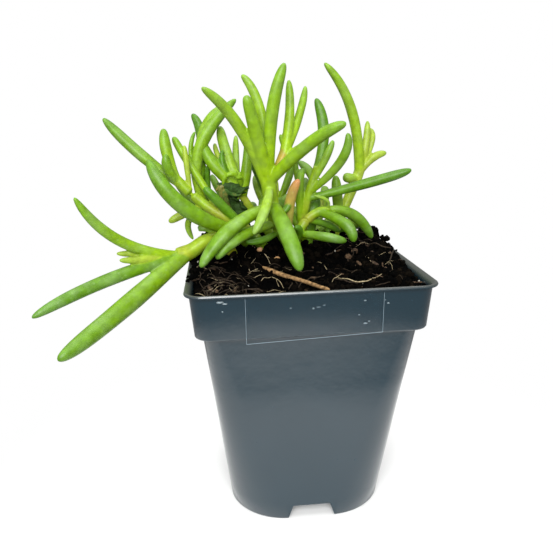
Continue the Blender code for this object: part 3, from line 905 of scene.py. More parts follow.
@dataclass(frozen=True)
class PotPlastic:
    """Injection-moulded slate blue-grey polypropylene, handled and a little dusty.

    It gives the eye a clear but soft reflection, broken by a fine grain and slow waves in the
    wall, with faint clouds and specks of dust, and a dull powdered edge.
    """

    body: str = "#0D252F"
    dust: str = "#2B4450"
    ledge_dust: str = "#45463F"
    roughness: float = 0.15
    ledge_roughness: float = 0.5
    ior: float = 1.49
    gloss: float = 0.8
    grain_size: float = 0.35
    grain_relief: float = 0.1
    cloud_size: float = 22.0
    cloud_strength: float = 0.14
    wave_relief: float = 0.8
    speck_spacing: float = 5.0
    # Where a speck starts to show, and where it shows in full
    speck_edge: Spot = (0.06, 0.03)
    speck_strength: float = 0.35
    # How far a face turns up before dust starts to lie on it, and where it lies thickest
    ledge_turn: Spot = (0.1, 0.8)
    ledge_strength: float = 0.75

    def material(self) -> Material:
        """Builds the material.

        Returns:
            Semi-gloss plastic with a fine moulded grain, dust and dusty ledges.
        """
        made, shader, place = new_material("moulded_slate_polypropylene")
        tree = made.node_tree
        grain = {"Vector": place, "Scale": per_mm(self.cloud_size), "Detail": 4.0, "Roughness": 0.6}
        clouds = add_node(tree, "ShaderNodeTexNoise", grain)
        span = {"Value": clouds, "From Min": 0.2, "From Max": 0.9, "To Max": self.cloud_strength}
        haze = add_node(tree, "ShaderNodeMapRange", span)
        # Sparse pale specks of dried water and dust
        grain = {"Vector": place, "Scale": per_mm(self.speck_spacing), "Randomness": 1.0}
        specks = add_node(tree, "ShaderNodeTexVoronoi", grain).outputs
        far, near = self.speck_edge
        span = {"Value": specks["Distance"], "From Min": far, "From Max": near}
        dots = add_node(tree, "ShaderNodeMapRange", {**span, "To Max": self.speck_strength})
        # Peat dust lies on whatever faces up, such as the rim lip
        normal = add_node(tree, "ShaderNodeNewGeometry").outputs["Normal"]
        facing = add_node(tree, "ShaderNodeSeparateXYZ", {0: normal}).outputs
        low, high = self.ledge_turn
        span = {"Value": facing["Z"], "From Min": low, "From Max": high}
        ledge = add_node(tree, "ShaderNodeMapRange", {**span, "To Max": self.ledge_strength})
        colour = linear(self.body)
        for cover, tint in ((haze, self.dust), (dots, self.dust), (ledge, self.ledge_dust)):
            mix = {"Factor": cover, "A": colour, "B": linear(tint)}
            colour = add_node(tree, "ShaderNodeMix", mix, data_type="RGBA")
        grain = {"Vector": place, "Scale": per_mm(self.grain_size), "Detail": 2.0}
        height = add_node(tree, "ShaderNodeTexNoise", grain)
        relief = {"Height": height, "Strength": 0.05, "Distance": self.grain_relief * MM}
        bump = add_node(tree, "ShaderNodeBump", relief)
        relief = {"Height": clouds, "Strength": 0.25, "Distance": self.wave_relief * MM}
        waves = add_node(tree, "ShaderNodeBump", {**relief, "Normal": bump})
        span = {"Value": ledge, "To Min": self.roughness, "To Max": self.ledge_roughness}
        dull = add_node(tree, "ShaderNodeMapRange", span)
        set_inputs(tree, shader, {"Base Color": colour, "Normal": waves, "Roughness": dull})
        set_inputs(tree, shader, {"IOR": self.ior, "Specular IOR Level": self.gloss})
        return made


@dataclass(frozen=True)
class Peat:
    """Milled peat, damp and fibrous.

    It gives the eye a near black that hardly shines, with browner crumbs and fine fibres.
    """

    dark: str = "#020202"
    brown: str = "#17120C"
    fine_size: float = 0.9
    wide_size: float = 6.0
    # Where the brown starts to show, and where it shows in full
    brown_edge: Spot = (0.3, 0.44)
    brown_strength: float = 0.8
    relief: float = 0.5
    roughness: float = 0.92
    shine: float = 0.02

    def material(self) -> Material:
        """Builds the material.

        Returns:
            Peat that reads tone, where a piece has it, for lighter and darker crumbs.
        """
        made, shader, place = new_material("milled_peat")
        tree = made.node_tree
        tone = add_node(tree, "ShaderNodeAttribute", attribute_name="tone").outputs["Fac"]
        grain = {"Vector": place, "Scale": per_mm(self.fine_size), "Detail": 4.0, "Roughness": 0.7}
        fine = add_node(tree, "ShaderNodeTexNoise", grain)
        grain = {"Vector": place, "Scale": per_mm(self.wide_size), "Detail": 2.0}
        wide = add_node(tree, "ShaderNodeTexNoise", grain)
        both = add_node(tree, "ShaderNodeMath", {0: fine, 1: wide}, operation="MULTIPLY")
        low, high = self.brown_edge
        span = {"Value": both, "From Min": low, "From Max": high, "To Max": self.brown_strength}
        patch = add_node(tree, "ShaderNodeMapRange", span)
        share = add_node(tree, "ShaderNodeMath", {0: patch, 1: tone}, operation="ADD", use_clamp=True)
        mix = {"Factor": share, "A": linear(self.dark), "B": linear(self.brown)}
        colour = add_node(tree, "ShaderNodeMix", mix, data_type="RGBA")
        relief = {"Height": fine, "Strength": 0.7, "Distance": self.relief * MM}
        bump = add_node(tree, "ShaderNodeBump", relief)
        set_inputs(tree, shader, {"Base Color": colour, "Normal": bump, "Roughness": self.roughness})
        set_inputs(tree, shader, {"Specular IOR Level": self.shine})
        return made


@dataclass(frozen=True)
class Fibrous:
    """Dry plant fibre, such as twig, root, bark or husk, or grit as rough as it.

    It gives the eye a matt surface that drifts between two colours along a small grain.
    """

    name: str
    dark: str
    light: str
    grain_size: float = 0.8
    roughness: float = 0.75
    relief: float = 0.1
    shine: float = 0.25

    def material(self) -> Material:
        """Builds the material.

        Returns:
            A matt material that reads tone, where a piece has it.
        """
        made, shader, place = new_material(self.name)
        tree = made.node_tree
        tone = add_node(tree, "ShaderNodeAttribute", attribute_name="tone").outputs["Fac"]
        grain = {"Vector": place, "Scale": per_mm(self.grain_size), "Detail": 3.0}
        streaks = add_node(tree, "ShaderNodeTexNoise", grain)
        span = {"Value": streaks, "From Min": 0.3, "From Max": 0.7}
        patch = add_node(tree, "ShaderNodeMapRange", span)
        share = add_node(tree, "ShaderNodeMath", {0: patch, 1: tone}, operation="ADD", use_clamp=True)
        mix = {"Factor": share, "A": linear(self.dark), "B": linear(self.light)}
        colour = add_node(tree, "ShaderNodeMix", mix, data_type="RGBA")
        relief = {"Height": streaks, "Strength": 0.5, "Distance": self.relief * MM}
        bump = add_node(tree, "ShaderNodeBump", relief)
        set_inputs(tree, shader, {"Base Color": colour, "Normal": bump, "Roughness": self.roughness})
        set_inputs(tree, shader, {"Specular IOR Level": self.shine})
        return made


@dataclass(frozen=True)
class WitheredSkin:
    """Collapsed leaf skin, leathery and creased.

    It gives the eye dull folds that run from straw brown to black green. The black green is partly painted
    deep shade.
    """

    straw: str = "#6E6B30"
    dark: str = "#37571F"
    # The black green is partly painted shade, for the dead leaves that hang in deep shade
    black: str = "#23390F"
    dark_place: float = 0.55
    crease_size: float = 1.1
    tone_shift: float = 0.3
    relief: float = 0.5
    roughness: float = 0.7
    shine: float = 0.2

    def material(self) -> Material:
        """Builds the material.

        Returns:
            A dull skin that reads tone from the green part of marks.
        """
        made, shader, place = new_material("withered_leaf_skin")
        tree = made.node_tree
        marks = add_node(tree, "ShaderNodeAttribute", attribute_name="marks").outputs
        parts = add_node(tree, "ShaderNodeSeparateColor", {0: marks["Color"]}).outputs
        grain = {"Vector": place, "Scale": per_mm(self.crease_size), "Detail": 4.0}
        crease = add_node(tree, "ShaderNodeTexNoise", grain)
        span = {"Value": crease, "From Min": 0.3, "From Max": 0.7}
        span |= {"To Min": -self.tone_shift, "To Max": self.tone_shift}
        shift = add_node(tree, "ShaderNodeMapRange", span)
        tone = add_node(tree, "ShaderNodeMath", {0: parts["Green"], 1: shift}, use_clamp=True)
        colour = add_node(tree, "ShaderNodeValToRGB", {0: tone})
        stops = colour.color_ramp.elements
        stops[0].color = linear(self.straw)
        stops[1].color = linear(self.black)
        stops.new(self.dark_place).color = linear(self.dark)
        relief = {"Height": crease, "Strength": 0.8, "Distance": self.relief * MM}
        bump = add_node(tree, "ShaderNodeBump", relief)
        set_inputs(tree, shader, {"Base Color": colour, "Normal": bump, "Roughness": self.roughness})
        set_inputs(tree, shader, {"Specular IOR Level": self.shine})
        return made


@dataclass(frozen=True)
class ThinFilm:
    """A thin skin on the pot: clear cast film, its cut edge, or dried hard water.

    It gives the eye little but a trace of tint and gloss over what lies under it. On the cut edge, its pale
    tint is a painted highlight.
    """

    name: str
    tint: str
    opacity: float
    roughness: float
    ior: float = 1.49

    def material(self) -> Material:
        """Builds the material.

        Returns:
            A see-through skin.
        """
        made, shader, _ = new_material(self.name)
        look = {"Base Color": linear(self.tint), "Alpha": self.opacity, "Roughness": self.roughness}
        set_inputs(made.node_tree, shader, {**look, "IOR": self.ior})
        return made


@dataclass(frozen=True)
class PottingSoil:
    """The peat bed that fills the pot, and the height of its surface."""

    level: float = 97.3
    slope: float = 0.035
    edge_dip: float = 1.0
    edge_reach: float = 4.0
    half_width: float = 41.85
    corner: float = 5.3
    # Each heap: its x and y, its height and its reach. A hollow has a height below zero.
    heaps: tuple[tuple[float, float, float, float], ...] = (
        (-4.0, 14.0, 5.5, 17.0),
        (40.0, 34.0, 7.0, 6.0),
        (17.0, 16.0, 3.0, 8.0),
        (-9.0, 9.0, 3.6, 10.0),
        (12.0, 25.0, 4.0, 13.0),
        (-38.0, 27.0, 8.5, 8.0),
        (41.5, 10.0, 4.3, 13.0),
        (42.0, -10.0, 2.2, 10.0),
        (-42.0, 10.0, 3.2, 11.0),
        (-42.0, -9.0, 2.8, 9.0),
        (-14.0, 28.0, 5.0, 9.0),
        (27.0, 33.0, 5.0, 7.0),
        (-14.5, -25.0, -4.0, 7.0),
    )
    lump: float = 0.9
    lump_size: float = 9.0
    clod: float = 1.1
    clod_size: float = 3.6
    clod_octaves: int = 4
    clod_seed: float = 7.0
    cells: int = 190
    clearance: float = 0.1
    sides: tuple[Section, ...] = (
        Section(82.2, 40.4, 5.2),
        Section(81.4, 37.8, 4.9),
        Section(1.5, 30.2, 21.7),
    )

    def height(self, x: float, y: float) -> float:
        """How high the bed stands at a place, before its clods.

        Args:
            x: How far right the place lies.
            y: How far back it lies.

        Returns:
            The height.
        """
        wall_distance = self.half_width - max(abs(x), abs(y))
        dip = self.edge_dip * math.exp(-max(wall_distance, -1.0) / self.edge_reach)
        heaps = 0.0
        for heap_x, heap_y, height, reach in self.heaps:
            heaps += height * bell(math.hypot(x - heap_x, y - heap_y), reach)
        lump = self.lump * noise.noise(Vector((x, y, 0)) / self.lump_size)
        return self.level + self.slope * y - dip + heaps + lump

    def rough_height(self, x: float, y: float) -> float:
        """How high the bed stands at a place, with its clods and crevices."""
        place = Vector((x, y, self.clod_seed)) / self.clod_size
        return self.height(x, y) + self.clod * noise.turbulence(place, self.clod_octaves, False)

    def on_square(self, u: float, v: float, half_width: float, corner: float) -> Spot:
        """Where a point of the unit square lies on a rounded square.

        Args:
            u: From -1 at the left to 1 at the right.
            v: From -1 at the front to 1 at the back.
            half_width: Half of the rounded square's width.
            corner: Its corner radius.

        Returns:
            The point's x and y.
        """
        x, y = u * half_width, v * half_width
        flat = half_width - corner
        over_x, over_y = abs(x) - flat, abs(y) - flat
        if over_x > 0 and over_y > 0:
            pull = max(over_x, over_y) / math.hypot(over_x, over_y)
            x = math.copysign(flat + over_x * pull, x)
            y = math.copysign(flat + over_y * pull, y)
        return x, y

    def bed(self) -> Object:
        """Builds the whole body of soil: its rough top, its sides and its foot.

        Returns:
            The closed body.
        """
        grid = bmesh.new()
        last = self.cells
        shares = [2 * step / last - 1 for step in range(last + 1)]
        rows = []
        for v in shares:
            places = [self.on_square(u, v, self.half_width, self.corner) for u in shares]
            rows.append([grid.verts.new((x, y, self.rough_height(x, y))) for x, y in places])
        fill_rows(grid, rows)
        steps = [(i, 0) for i in range(last)] + [(last, j) for j in range(last)]
        steps += [(last - i, last) for i in range(last)] + [(0, last - j) for j in range(last)]
        rings = [[rows[j][i] for i, j in steps]]
        for side in self.sides:
            wide, round_off = side.half_width, side.corner
            places = [self.on_square(shares[i], shares[j], wide, round_off) for i, j in steps]
            rings.insert(0, [grid.verts.new((x, y, side.height)) for x, y in places])
        fill_rows(grid, rings, closed=True)
        grid.faces.new(list(reversed(rings[0])))
        made = object_from(grid, "peat_bed")
        made.data.shade_smooth()
        return made


@dataclass(frozen=True)
class NurseryPot:
    """The square nursery pot: walls, collar, rim lip, four feet and drain holes.

    Its sections run up the outside and over the lip, and then up the inside.
    """

    corner_steps: int = 18
    outside: tuple[Section, ...] = (
        Section(0.0, 30.9, 22.6),
        Section(0.12, 31.2, 22.9),
        Section(0.5, 31.45, 23.0),
        Section(8.0, 32.1, 21.3),
        Section(20.0, 33.3, 18.8),
        Section(40.0, 35.2, 14.6),
        Section(60.0, 37.2, 10.4),
        Section(79.9, 39.2, 6.1),
        Section(80.4, 39.4, 6.0),
        Section(80.6, 39.9, 6.0),
        Section(81.0, 41.2, 6.1),
        Section(81.3, 41.8, 6.1),
        Section(81.8, 42.05, 6.0),
        Section(96.5, 43.25, 5.8),
        Section(97.0, 43.4, 5.9),
        Section(97.2, 43.7, 6.1),
        Section(97.24, 44.5, 6.6),
        Section(97.4, 44.85, 6.9),
        Section(97.85, 45.0, 7.0),
        Section(98.3, 44.8, 6.95),
        Section(98.46, 44.4, 6.7),
        Section(98.3, 43.9, 6.3),
        Section(97.7, 43.1, 5.8),
        Section(97.0, 42.55, 5.4),
        Section(96.2, 42.3, 5.2),
    )
    inside: tuple[Section, ...] = (
        Section(1.2, 30.5, 22.0),
        Section(81.3, 38.3, 5.0),
        Section(82.1, 41.0, 5.1),
        Section(96.2, 42.3, 5.2),
    )
    channel_height: float = 6.0
    channel_top: float = 7.4
    channel_foot: float = 9.4
    floor: float = 1.2
    drain_radius: float = 3.0
    drain_spacing: float = 19.0
    drain_sides: int = 32
    # How far the channel cutter reaches to each side, and how far cutters pass what they cut
    reach: float = 50.0
    overshoot: float = 5.0
    # Edges that turn by more than this, in degrees, are shaded crisp
    crisp_turn: float = 38.0

    def ring(self, section: Section) -> list[Point]:
        """Places points round a rounded square.

        Args:
            section: The rounded square.

        Returns:
            The points, counterclockwise from above.
        """
        middle = section.half_width - section.corner
        points = []
        for quarter, (side, front) in enumerate(((1, 1), (-1, 1), (-1, -1), (1, -1))):
            for step in range(self.corner_steps + 1):
                angle = (quarter + step / self.corner_steps) * math.pi / 2
                x = side * middle + section.corner * math.cos(angle)
                y = front * middle + section.corner * math.sin(angle)
                points.append((x, y, section.height))
        return points

    def cross(self, half_width: float, height: float) -> list[Point]:
        """Places the corners of a plus shape.

        Args:
            half_width: Half the width of its arms.
            height: The height it lies at.

        Returns:
            The twelve corners, counterclockwise from above.
        """
        quarter = ((self.reach, -half_width), (self.reach, half_width), (half_width, half_width))
        points = []
        for cosine, sine in ((1, 0), (0, 1), (-1, 0), (0, -1)):
            points += [(x * cosine - y * sine, x * sine + y * cosine, height) for x, y in quarter]
        return points

    def loft(self, name: str, rings: Sequence[Sequence[Point]]) -> Object:
        """Builds a closed skin over rings.

        Args:
            name: The object's name.
            rings: Rings that have the same number of points, from the foot up.

        Returns:
            The closed body.
        """
        grid = bmesh.new()
        rows = [[grid.verts.new(point) for point in ring] for ring in rings]
        fill_rows(grid, rows, closed=True)
        grid.faces.new(list(reversed(rows[0])))
        grid.faces.new(rows[-1])
        return object_from(grid, name)

    def channels(self, margin: float) -> Object:
        """Builds the raised channels under the floor as a cutter.

        Args:
            margin: How much fatter it is than the channels.

        Returns:
            The solid plus shape.
        """
        slope = (self.channel_foot - self.channel_top) / self.channel_height
        foot = self.channel_foot + margin + slope * self.overshoot
        top = self.channel_top + margin - slope * margin
        rings = (self.cross(foot, -self.overshoot), self.cross(top, self.channel_height + margin))
        return self.loft("channel_cutter", rings)

    def drain_holes(self) -> list[Object]:
        """Builds the five drain holes as cutters.

        Returns:
            One upright cylinder for each hole.
        """
        holes = []
        for x, y in ((0, 0), (1, 0), (-1, 0), (0, 1), (0, -1)):
            grid = bmesh.new()
            size = {"radius1": self.drain_radius, "radius2": self.drain_radius}
            size |= {"depth": self.channel_height * 4, "segments": self.drain_sides}
            bmesh.ops.create_cone(grid, cap_ends=True, **size)
            place = Vector((x, y, 0)) * self.drain_spacing
            bmesh.ops.translate(grid, verts=grid.verts, vec=place)
            holes.append(object_from(grid, "drain_cutter"))
        return holes

    def cut(self, target: Object, cutters: Sequence[Object]) -> None:
        """Cuts the cutters out of the target and removes them.

        Args:
            target: The body that is cut.
            cutters: What is cut out of it, in order.
        """
        for cutter in cutters:
            modifier = target.modifiers.new("cut", "BOOLEAN")
            modifier.operation = "DIFFERENCE"
            modifier.solver = "EXACT"
            modifier.object = cutter
        apply_modifiers(target)
        for cutter in cutters:
            remove(cutter)

    def shell(self) -> Object:
        """Builds the moulded pot in one piece.

        Returns:
            The closed shell, smooth on its walls and crisp on its edges.
        """
        pot = self.loft("moulded_pot", [self.ring(section) for section in self.outside])
        mouth = self.inside[-1]
        above = Section(mouth.height + self.overshoot, mouth.half_width, mouth.corner)
        hollow = self.loft("hollow_cutter", [self.ring(part) for part in (*self.inside, above)])
        self.cut(hollow, [self.channels(self.floor)])
        self.cut(pot, [self.channels(0.0), hollow, *self.drain_holes()])
        pot.data.shade_smooth()
        pot.data.set_sharp_from_angle(angle=math.radians(self.crisp_turn))
        return pot


@dataclass(frozen=True)
class LeafyShoot:
    """One rooted stem with its side stems and fleshy leaves, fused into one skin."""

    name: str
    stems: tuple[Stem, ...]
    draw: random.Random
    # How wide a leaf is along its length, as a share of its greatest width
    profile: tuple[Spot, ...] = (
        (0.0, 0.68),
        (0.07, 0.72),
        (0.14, 0.78),
        (0.25, 0.865),
        (0.36, 0.935),
        (0.47, 0.98),
        (0.58, 1.0),
        (0.68, 0.965),
        (0.78, 0.9),
        (0.86, 0.8),
        (0.92, 0.67),
        (0.96, 0.52),
        (0.985, 0.36),
        (1.0, 0.16),
    )
    widest: float = 0.58
    # How much a leaf's width wavers, over this many waves, from a random start
    waver: float = 0.05
    waves: float = 4.0
    wave_starts: float = 100.0
    leaf_steps: int = 26
    stem_steps: int = 6
    foot: float = 85.0
    sides: int = 20
    thickness: float = 0.97
    flatness: float = 0.14
    groove: float = 0.05
    voxel: float = 0.36
    ease: float = 0.5
    ease_rounds: int = 2
    tip_allowance: float = 0.55
    node_swell: float = 0.06
    node_reach: float = 2.2
    # A leaf's tone at the foot of the plant, how much it gains to the top, and its spread
    low_tone: float = 0.27
    tone_rise: float = 0.24
    tone_spread: float = 0.09
    bloom: Spot = (0.3, 0.8)
    # What share of the bloom a leaf has at the foot of the plant, and what it loses to the top
    low_bloom: float = 1.3
    bloom_fall: float = 0.8
    # A stem's green is darker at its foot, over this height
    stem_foot_height: float = 22.0
    stem_foot_tone: float = 0.45
    stem_blush: float = 0.3
    stem_blush_size: float = 6.0
    stem_bloom: float = 0.2
    top_of_plant: float = 165.0
    foot_of_plant: float = 100.0

    def leaf_marks(self, leaf: Leaf) -> tuple[float, float, float, float]:
        """Draws the colouring of a leaf.

        Args:
            leaf: The leaf. The higher its tip, the younger and yellower it is.

        Returns:
            Its tone, the blush at its base and at its tip, and its bloom.
        """
        share = (leaf.tip[2] - self.foot_of_plant) / (self.top_of_plant - self.foot_of_plant)
        rise = min(max(share, 0.0), 1.0)
        spread = self.draw.uniform(-self.tone_spread, self.tone_spread)
        tone = self.low_tone + self.tone_rise * rise + spread
        bloom = self.draw.uniform(*self.bloom) * (self.low_bloom - self.bloom_fall * rise)
        looks = {
            Hue.GREEN: (tone, 0.0, 0.0, bloom),
            # Painted shade: the deep-shade hue gets a dark tone and the shaded hue a dimmer one
            Hue.DARK: (0.16, 0.0, 0.0, 0.2),
            Hue.SHADED: (0.29, 0.0, 0.0, bloom),
            Hue.YOUNG: (0.8, 0.06, 0.0, 0.2),
            Hue.PALE: (0.62, 0.0, 0.0, 1.0),
            Hue.RED_TIPPED: (0.68, 0.3, 0.85, 0.6),
            Hue.WITHERED: (0.0, 0.1, 0.3, 0.1),
        }
        return looks[leaf.hue]

    def leaf_guide(self, leaf: Leaf, root: Vector, heading: Vector) -> Guide:
        """The leaf's centre line: one bend from its root through its middle to its tip.

        Args:
            leaf: The leaf.
            root: Where it leaves the stem's centre line.
            heading: The stem's direction there, which the leaf's upper side turns to.

        Returns:
            The guide.
        """
        middle, tip = Vector(leaf.middle), Vector(leaf.tip)
        bend = 2 * middle - (root + tip) / 2
        # Fusing and smoothing wear the tip down, so it starts a little longer
        tip += (tip - bend).normalized() * self.tip_allowance
        tone, base_blush, tip_blush, bloom = self.leaf_marks(leaf)
        start = self.draw.uniform(0, self.wave_starts)
        points, widths, uppers, marks = [], [], [], []
        side = heading
        for step in range(self.leaf_steps + 1):
            t = math.sin(step / self.leaf_steps * math.pi / 2)
            points.append(root * (1 - t) ** 2 + bend * 2 * t * (1 - t) + tip * t**2)
            along = (bend - root) * (1 - t) + (tip - bend) * t
            side = (side - along * (side.dot(along) / along.dot(along))).normalized()
            uppers.append(side)
            waver = 1 + self.waver * noise.noise(Vector((t * self.waves, start, 0)))
            root_share = (leaf.base - self.profile[0][1]) * max(0.0, 1 - t / self.widest)
            widths.append((between(self.profile, t) + root_share) * leaf.width / 2 * waver)
            marks.append((t, tone, base_blush + (tip_blush - base_blush) * t**3, bloom))
        return Guide(points, widths, uppers, marks)

    def stem_guide(self, stem: Stem, rooted: bool) -> Guide:
        """The stem's centre line, with a straight foot in the soil if it is rooted.

        Args:
            stem: The stem.
            rooted: Whether it stands in the soil.

        Returns:
            The guide, a little swollen where leaves grow.
        """
        path = catmull_rom([Vector(point) for point in stem.points], self.stem_steps)
        if rooted:
            path.insert(0, Vector((path[0].x, path[0].y, self.foot)))
        lengths = [0.0]
        for start, end in zip(path, path[1:]):
            lengths.append(lengths[-1] + (end - start).length)
        whole, last = lengths[-1], len(path) - 1
        thick, thin = stem.widths
        widths, uppers, marks = [], [], []
        for number, (point, length) in enumerate(zip(path, lengths)):
            share = length / whole
            near = max(bell((share - leaf.start) * whole, self.node_reach) for leaf in stem.leaves)
            width = thick + (thin - thick) * (number / last)
            widths.append(width / 2 * (1 + self.node_swell * near))
            ahead = path[min(number + 1, last)] - path[max(number - 1, 0)]
            uppers.append(ahead.orthogonal().normalized())
            ruddy = max(0.0, noise.noise(point / self.stem_blush_size))
            rise = min(max((point.z - self.foot_of_plant) / self.stem_foot_height, 0.0), 1.0)
            tone = stem.tone * (self.stem_foot_tone + (1 - self.stem_foot_tone) * rise)
            marks.append((0.0, tone, stem.blush + self.stem_blush * ruddy, self.stem_bloom))
        return Guide(path, widths, uppers, marks)

    def guides(self) -> list[Guide]:
        """Draws the shoot's centre lines.

        Returns:
            One guide for every stem and leaf.
        """
        lines = []
        for number, stem in enumerate(self.stems):
            trunk = self.stem_guide(stem, number == 0)
            lines.append(trunk)
            for leaf in stem.leaves:
                root, heading = point_along(trunk.points, leaf.start)
                lines.append(self.leaf_guide(leaf, root, heading))
        return lines

    def build(self, sweep: NodeTree, carry: NodeTree, flesh: Material) -> None:
        """Sweeps the stems and leaves, fuses them into one skin and hands the piece over.

        Args:
            sweep: The tree that sweeps the guides.
            carry: The tree that carries the marks over to the fused skin.
            flesh: The leaf flesh.
        """
        loose = guide_object("loose_leaves", self.guides())
        shape = {"Sides": self.sides, "Thickness": self.thickness, "Flatness": self.flatness}
        add_modifier(loose, sweep, {**shape, "Groove": self.groove, "Finish": flesh})
        apply_modifiers(loose)
        piece = new_object(self.name + "_flesh", loose.data.copy())
        fuse = piece.modifiers.new("fuse", "REMESH")
        fuse.mode = "VOXEL"
        fuse.voxel_size = self.voxel * MM
        fuse.use_smooth_shade = True
        ease = piece.modifiers.new("ease", "SMOOTH")
        ease.factor = self.ease
        ease.iterations = self.ease_rounds
        add_modifier(piece, carry, {"Source": loose, "Finish": flesh})
        apply_modifiers(piece)
        remove(loose)
        hand_over(piece, "leaf", [self.name])


def sweep_piece(
    name: str,
    guides: Sequence[Guide],
    sweep: NodeTree,
    finish: Material,
    sides: int,
    slot: str,
    replaced: Sequence[str] = (),
    thickness: float = 1.0,
) -> None:
    """Sweeps guides into one piece and hands it over.

    Args:
        name: The piece's name.
        guides: Its centre lines.
        sweep: The tree that sweeps them.
        finish: Its material.
        sides: How many sides its section has.
        slot: The record's material slot.
        replaced: The CAD nodes that it stands for.
        thickness: How thick the section is as a share of its width.
    """
    piece = guide_object(name, guides)
    inputs = {"Sides": sides, "Thickness": thickness, "Flatness": 0.0, "Groove": 0.0, "Finish": finish}
    add_modifier(piece, sweep, inputs)
    apply_modifiers(piece)
    hand_over(piece, slot, replaced)


@dataclass(frozen=True)
class ClearLabel:
    """The clear film label on the front of the collar, and the dried splashes on and round it."""

    left: float = -24.0
    right: float = 24.3
    top: float = 96.4
    foot_left: float = 79.6
    foot_right: float = 81.5
    # The height and the half width of the collar at its foot and at its top
    collar_foot: Spot = (81.8, 42.05)
    collar_top: Spot = (96.5, 43.25)
    gap: float = 0.15
    thickness: float = 0.08
    ripple: float = 0.04
    ripple_size: float = 7.0
    columns: int = 40
    rows: int = 12
    crisp_turn: float = 40.0
    # The cut edge is drawn wider than the film is thick, or it would not show
    bead: float = 0.14
    bead_sides: int = 6
    bead_steps: int = 24
    film_finish: ThinFilm = ThinFilm("clear_cast_film", "#2A3A42", 0.01, 0.1)
    # The cut edge's pale tint is a painted highlight where it catches the light
    edge_highlight_finish: ThinFilm = ThinFilm("cut_edge_of_film", "#9DB0BA", 0.6, 0.4)
    splash_finish: ThinFilm = ThinFilm("dried_water_splash", "#A7B6BC", 0.6, 0.5)
    # Each splash: its middle across and up, its width and its height
    splashes: tuple[tuple[float, float, float, float], ...] = (
        (-32.6, 95.6, 2.6, 0.9),
        (-30.9, 95.0, 1.9, 0.6),
        (-31.8, 92.2, 0.7, 0.4),
        (-0.6, 91.9, 0.7, 0.6),
        (1.2, 92.3, 1.6, 0.25),
        (3.2, 92.9, 1.1, 0.22),
        (-8.5, 92.4, 0.7, 0.35),
        (17.6, 93.9, 0.9, 0.45),
        (15.6, 88.6, 0.7, 0.3),
        (18.0, 85.3, 1.7, 0.5),
        (19.2, 86.0, 0.8, 0.35),
        (25.9, 92.4, 0.9, 0.6),
        (24.8, 93.6, 0.5, 0.3),
    )
    splash_sides: int = 18
    splash_unevenness: float = 0.45
    # How far a splash stands off the face at its back, its rim and its peak
    splash_lifts: Point = (0.01, 0.02, 0.1)

    def front(self, z: float) -> float:
        """The y of the collar's face at a height, also below its foot."""
        (low, near), (high, far) = self.collar_foot, self.collar_top
        return -(near + (far - near) * (z - low) / (high - low))

    def foot(self, x: float) -> float:
        """The height of the film's lower edge, which was stuck on a little askew."""
        share = (x - self.left) / (self.right - self.left)
        return self.foot_left + (self.foot_right - self.foot_left) * share

    def place(self, across: float, up: float, off: float) -> Point:
        """Finds a point of the film.

        Args:
            across: How far across the film it lies, from 0 to 1.
            up: How far up it lies, from 0 to 1.
            off: How far it stands off the collar.

        Returns:
            The point.
        """
        x = self.left + (self.right - self.left) * across
        z = self.foot(x) + (self.top - self.foot(x)) * up
        wave = noise.noise(Vector((x / self.ripple_size, z / self.ripple_size, 0.0)))
        return (x, self.front(z) - off - self.ripple * (1 + wave), z)

    def film(self) -> Object:
        """Builds the film.

        Returns:
            The closed thin sheet.
        """
        sheet = bmesh.new()
        across = [step / self.columns for step in range(self.columns + 1)]
        rims = []
        for off in (self.gap, self.gap + self.thickness):
            rows = []
            for step in range(self.rows + 1):
                places = [self.place(share, step / self.rows, off) for share in across]
                rows.append([sheet.verts.new(place) for place in places])
            fill_rows(sheet, rows)
            rim = rows[0] + [row[-1] for row in rows[1:]]
            rims.append(rim + rows[-1][-2::-1] + [row[0] for row in rows[-2:0:-1]])
        fill_rows(sheet, rims, closed=True)
        made = object_from(sheet, "clear_film_label")
        made.data.shade_smooth()
        made.data.set_sharp_from_angle(angle=math.radians(self.crisp_turn))
        return made

    def cut_edges(self) -> list[Guide]:
        """Draws the film's left, lower and right edges, whose pale tint is a painted highlight where they
        catch the light.

        Returns:
            One guide for each edge.
        """
        corners = ((0.0, 1.0), (0.0, 0.0), (1.0, 0.0), (1.0, 1.0))
        guides = []
        for (a, b), (c, d) in zip(corners, corners[1:]):
            points = []
            for step in range(self.bead_steps + 1):
                share = step / self.bead_steps
                across, up = a + (c - a) * share, b + (d - b) * share
                points.append(Vector(self.place(across, up, self.gap + self.thickness / 2)))
            count = len(points)
            guides.append(Guide(points, [self.bead / 2] * count, [FORWARD] * count, [NO_MARKS] * count))
        return guides

    def splash_spots(self) -> Object:
        """Builds the dried splashes.

        Returns:
            The splashes in one object, each a low uneven lens.
        """
        spots = bmesh.new()
        back_lift, rim_lift, peak_lift = self.splash_lifts
        for x, z, width, height in self.splashes:
            on_film = self.left < x < self.right
            lift = self.gap + self.thickness + 2 * self.ripple if on_film else 0.0
            rim = []
            for step in range(self.splash_sides):
                angle = 2 * math.pi * step / self.splash_sides
                cosine, sine = math.cos(angle), math.sin(angle)
                uneven = 1 + self.splash_unevenness * noise.noise(Vector((cosine, sine, x)))
                a = x + width / 2 * uneven * cosine
                b = z + height / 2 * uneven * sine
                rim.append(spots.verts.new((a, self.front(b) - lift - rim_lift, b)))
            peak = spots.verts.new((x, self.front(z) - lift - peak_lift, z))
            back = spots.verts.new((x, self.front(z) - lift - back_lift, z))
            for here, ahead in zip(rim, rim[1:] + rim[:1]):
                spots.faces.new((here, ahead, peak))
                spots.faces.new((ahead, here, back))
        made = object_from(spots, "dried_splashes")
        made.data.shade_smooth()
        return made

    def build(self, sweep: NodeTree) -> None:
        """Builds the film, its cut edges and the splashes, and hands them over.

        Args:
            sweep: The tree that sweeps guides.
        """
        hand_over(self.film(), "pot", (), self.film_finish.material())
        edge = self.edge_highlight_finish.material()
        sweep_piece("film_cut_edges", self.cut_edges(), sweep, edge, self.bead_sides, "pot")
        hand_over(self.splash_spots(), "pot", (), self.splash_finish.material())


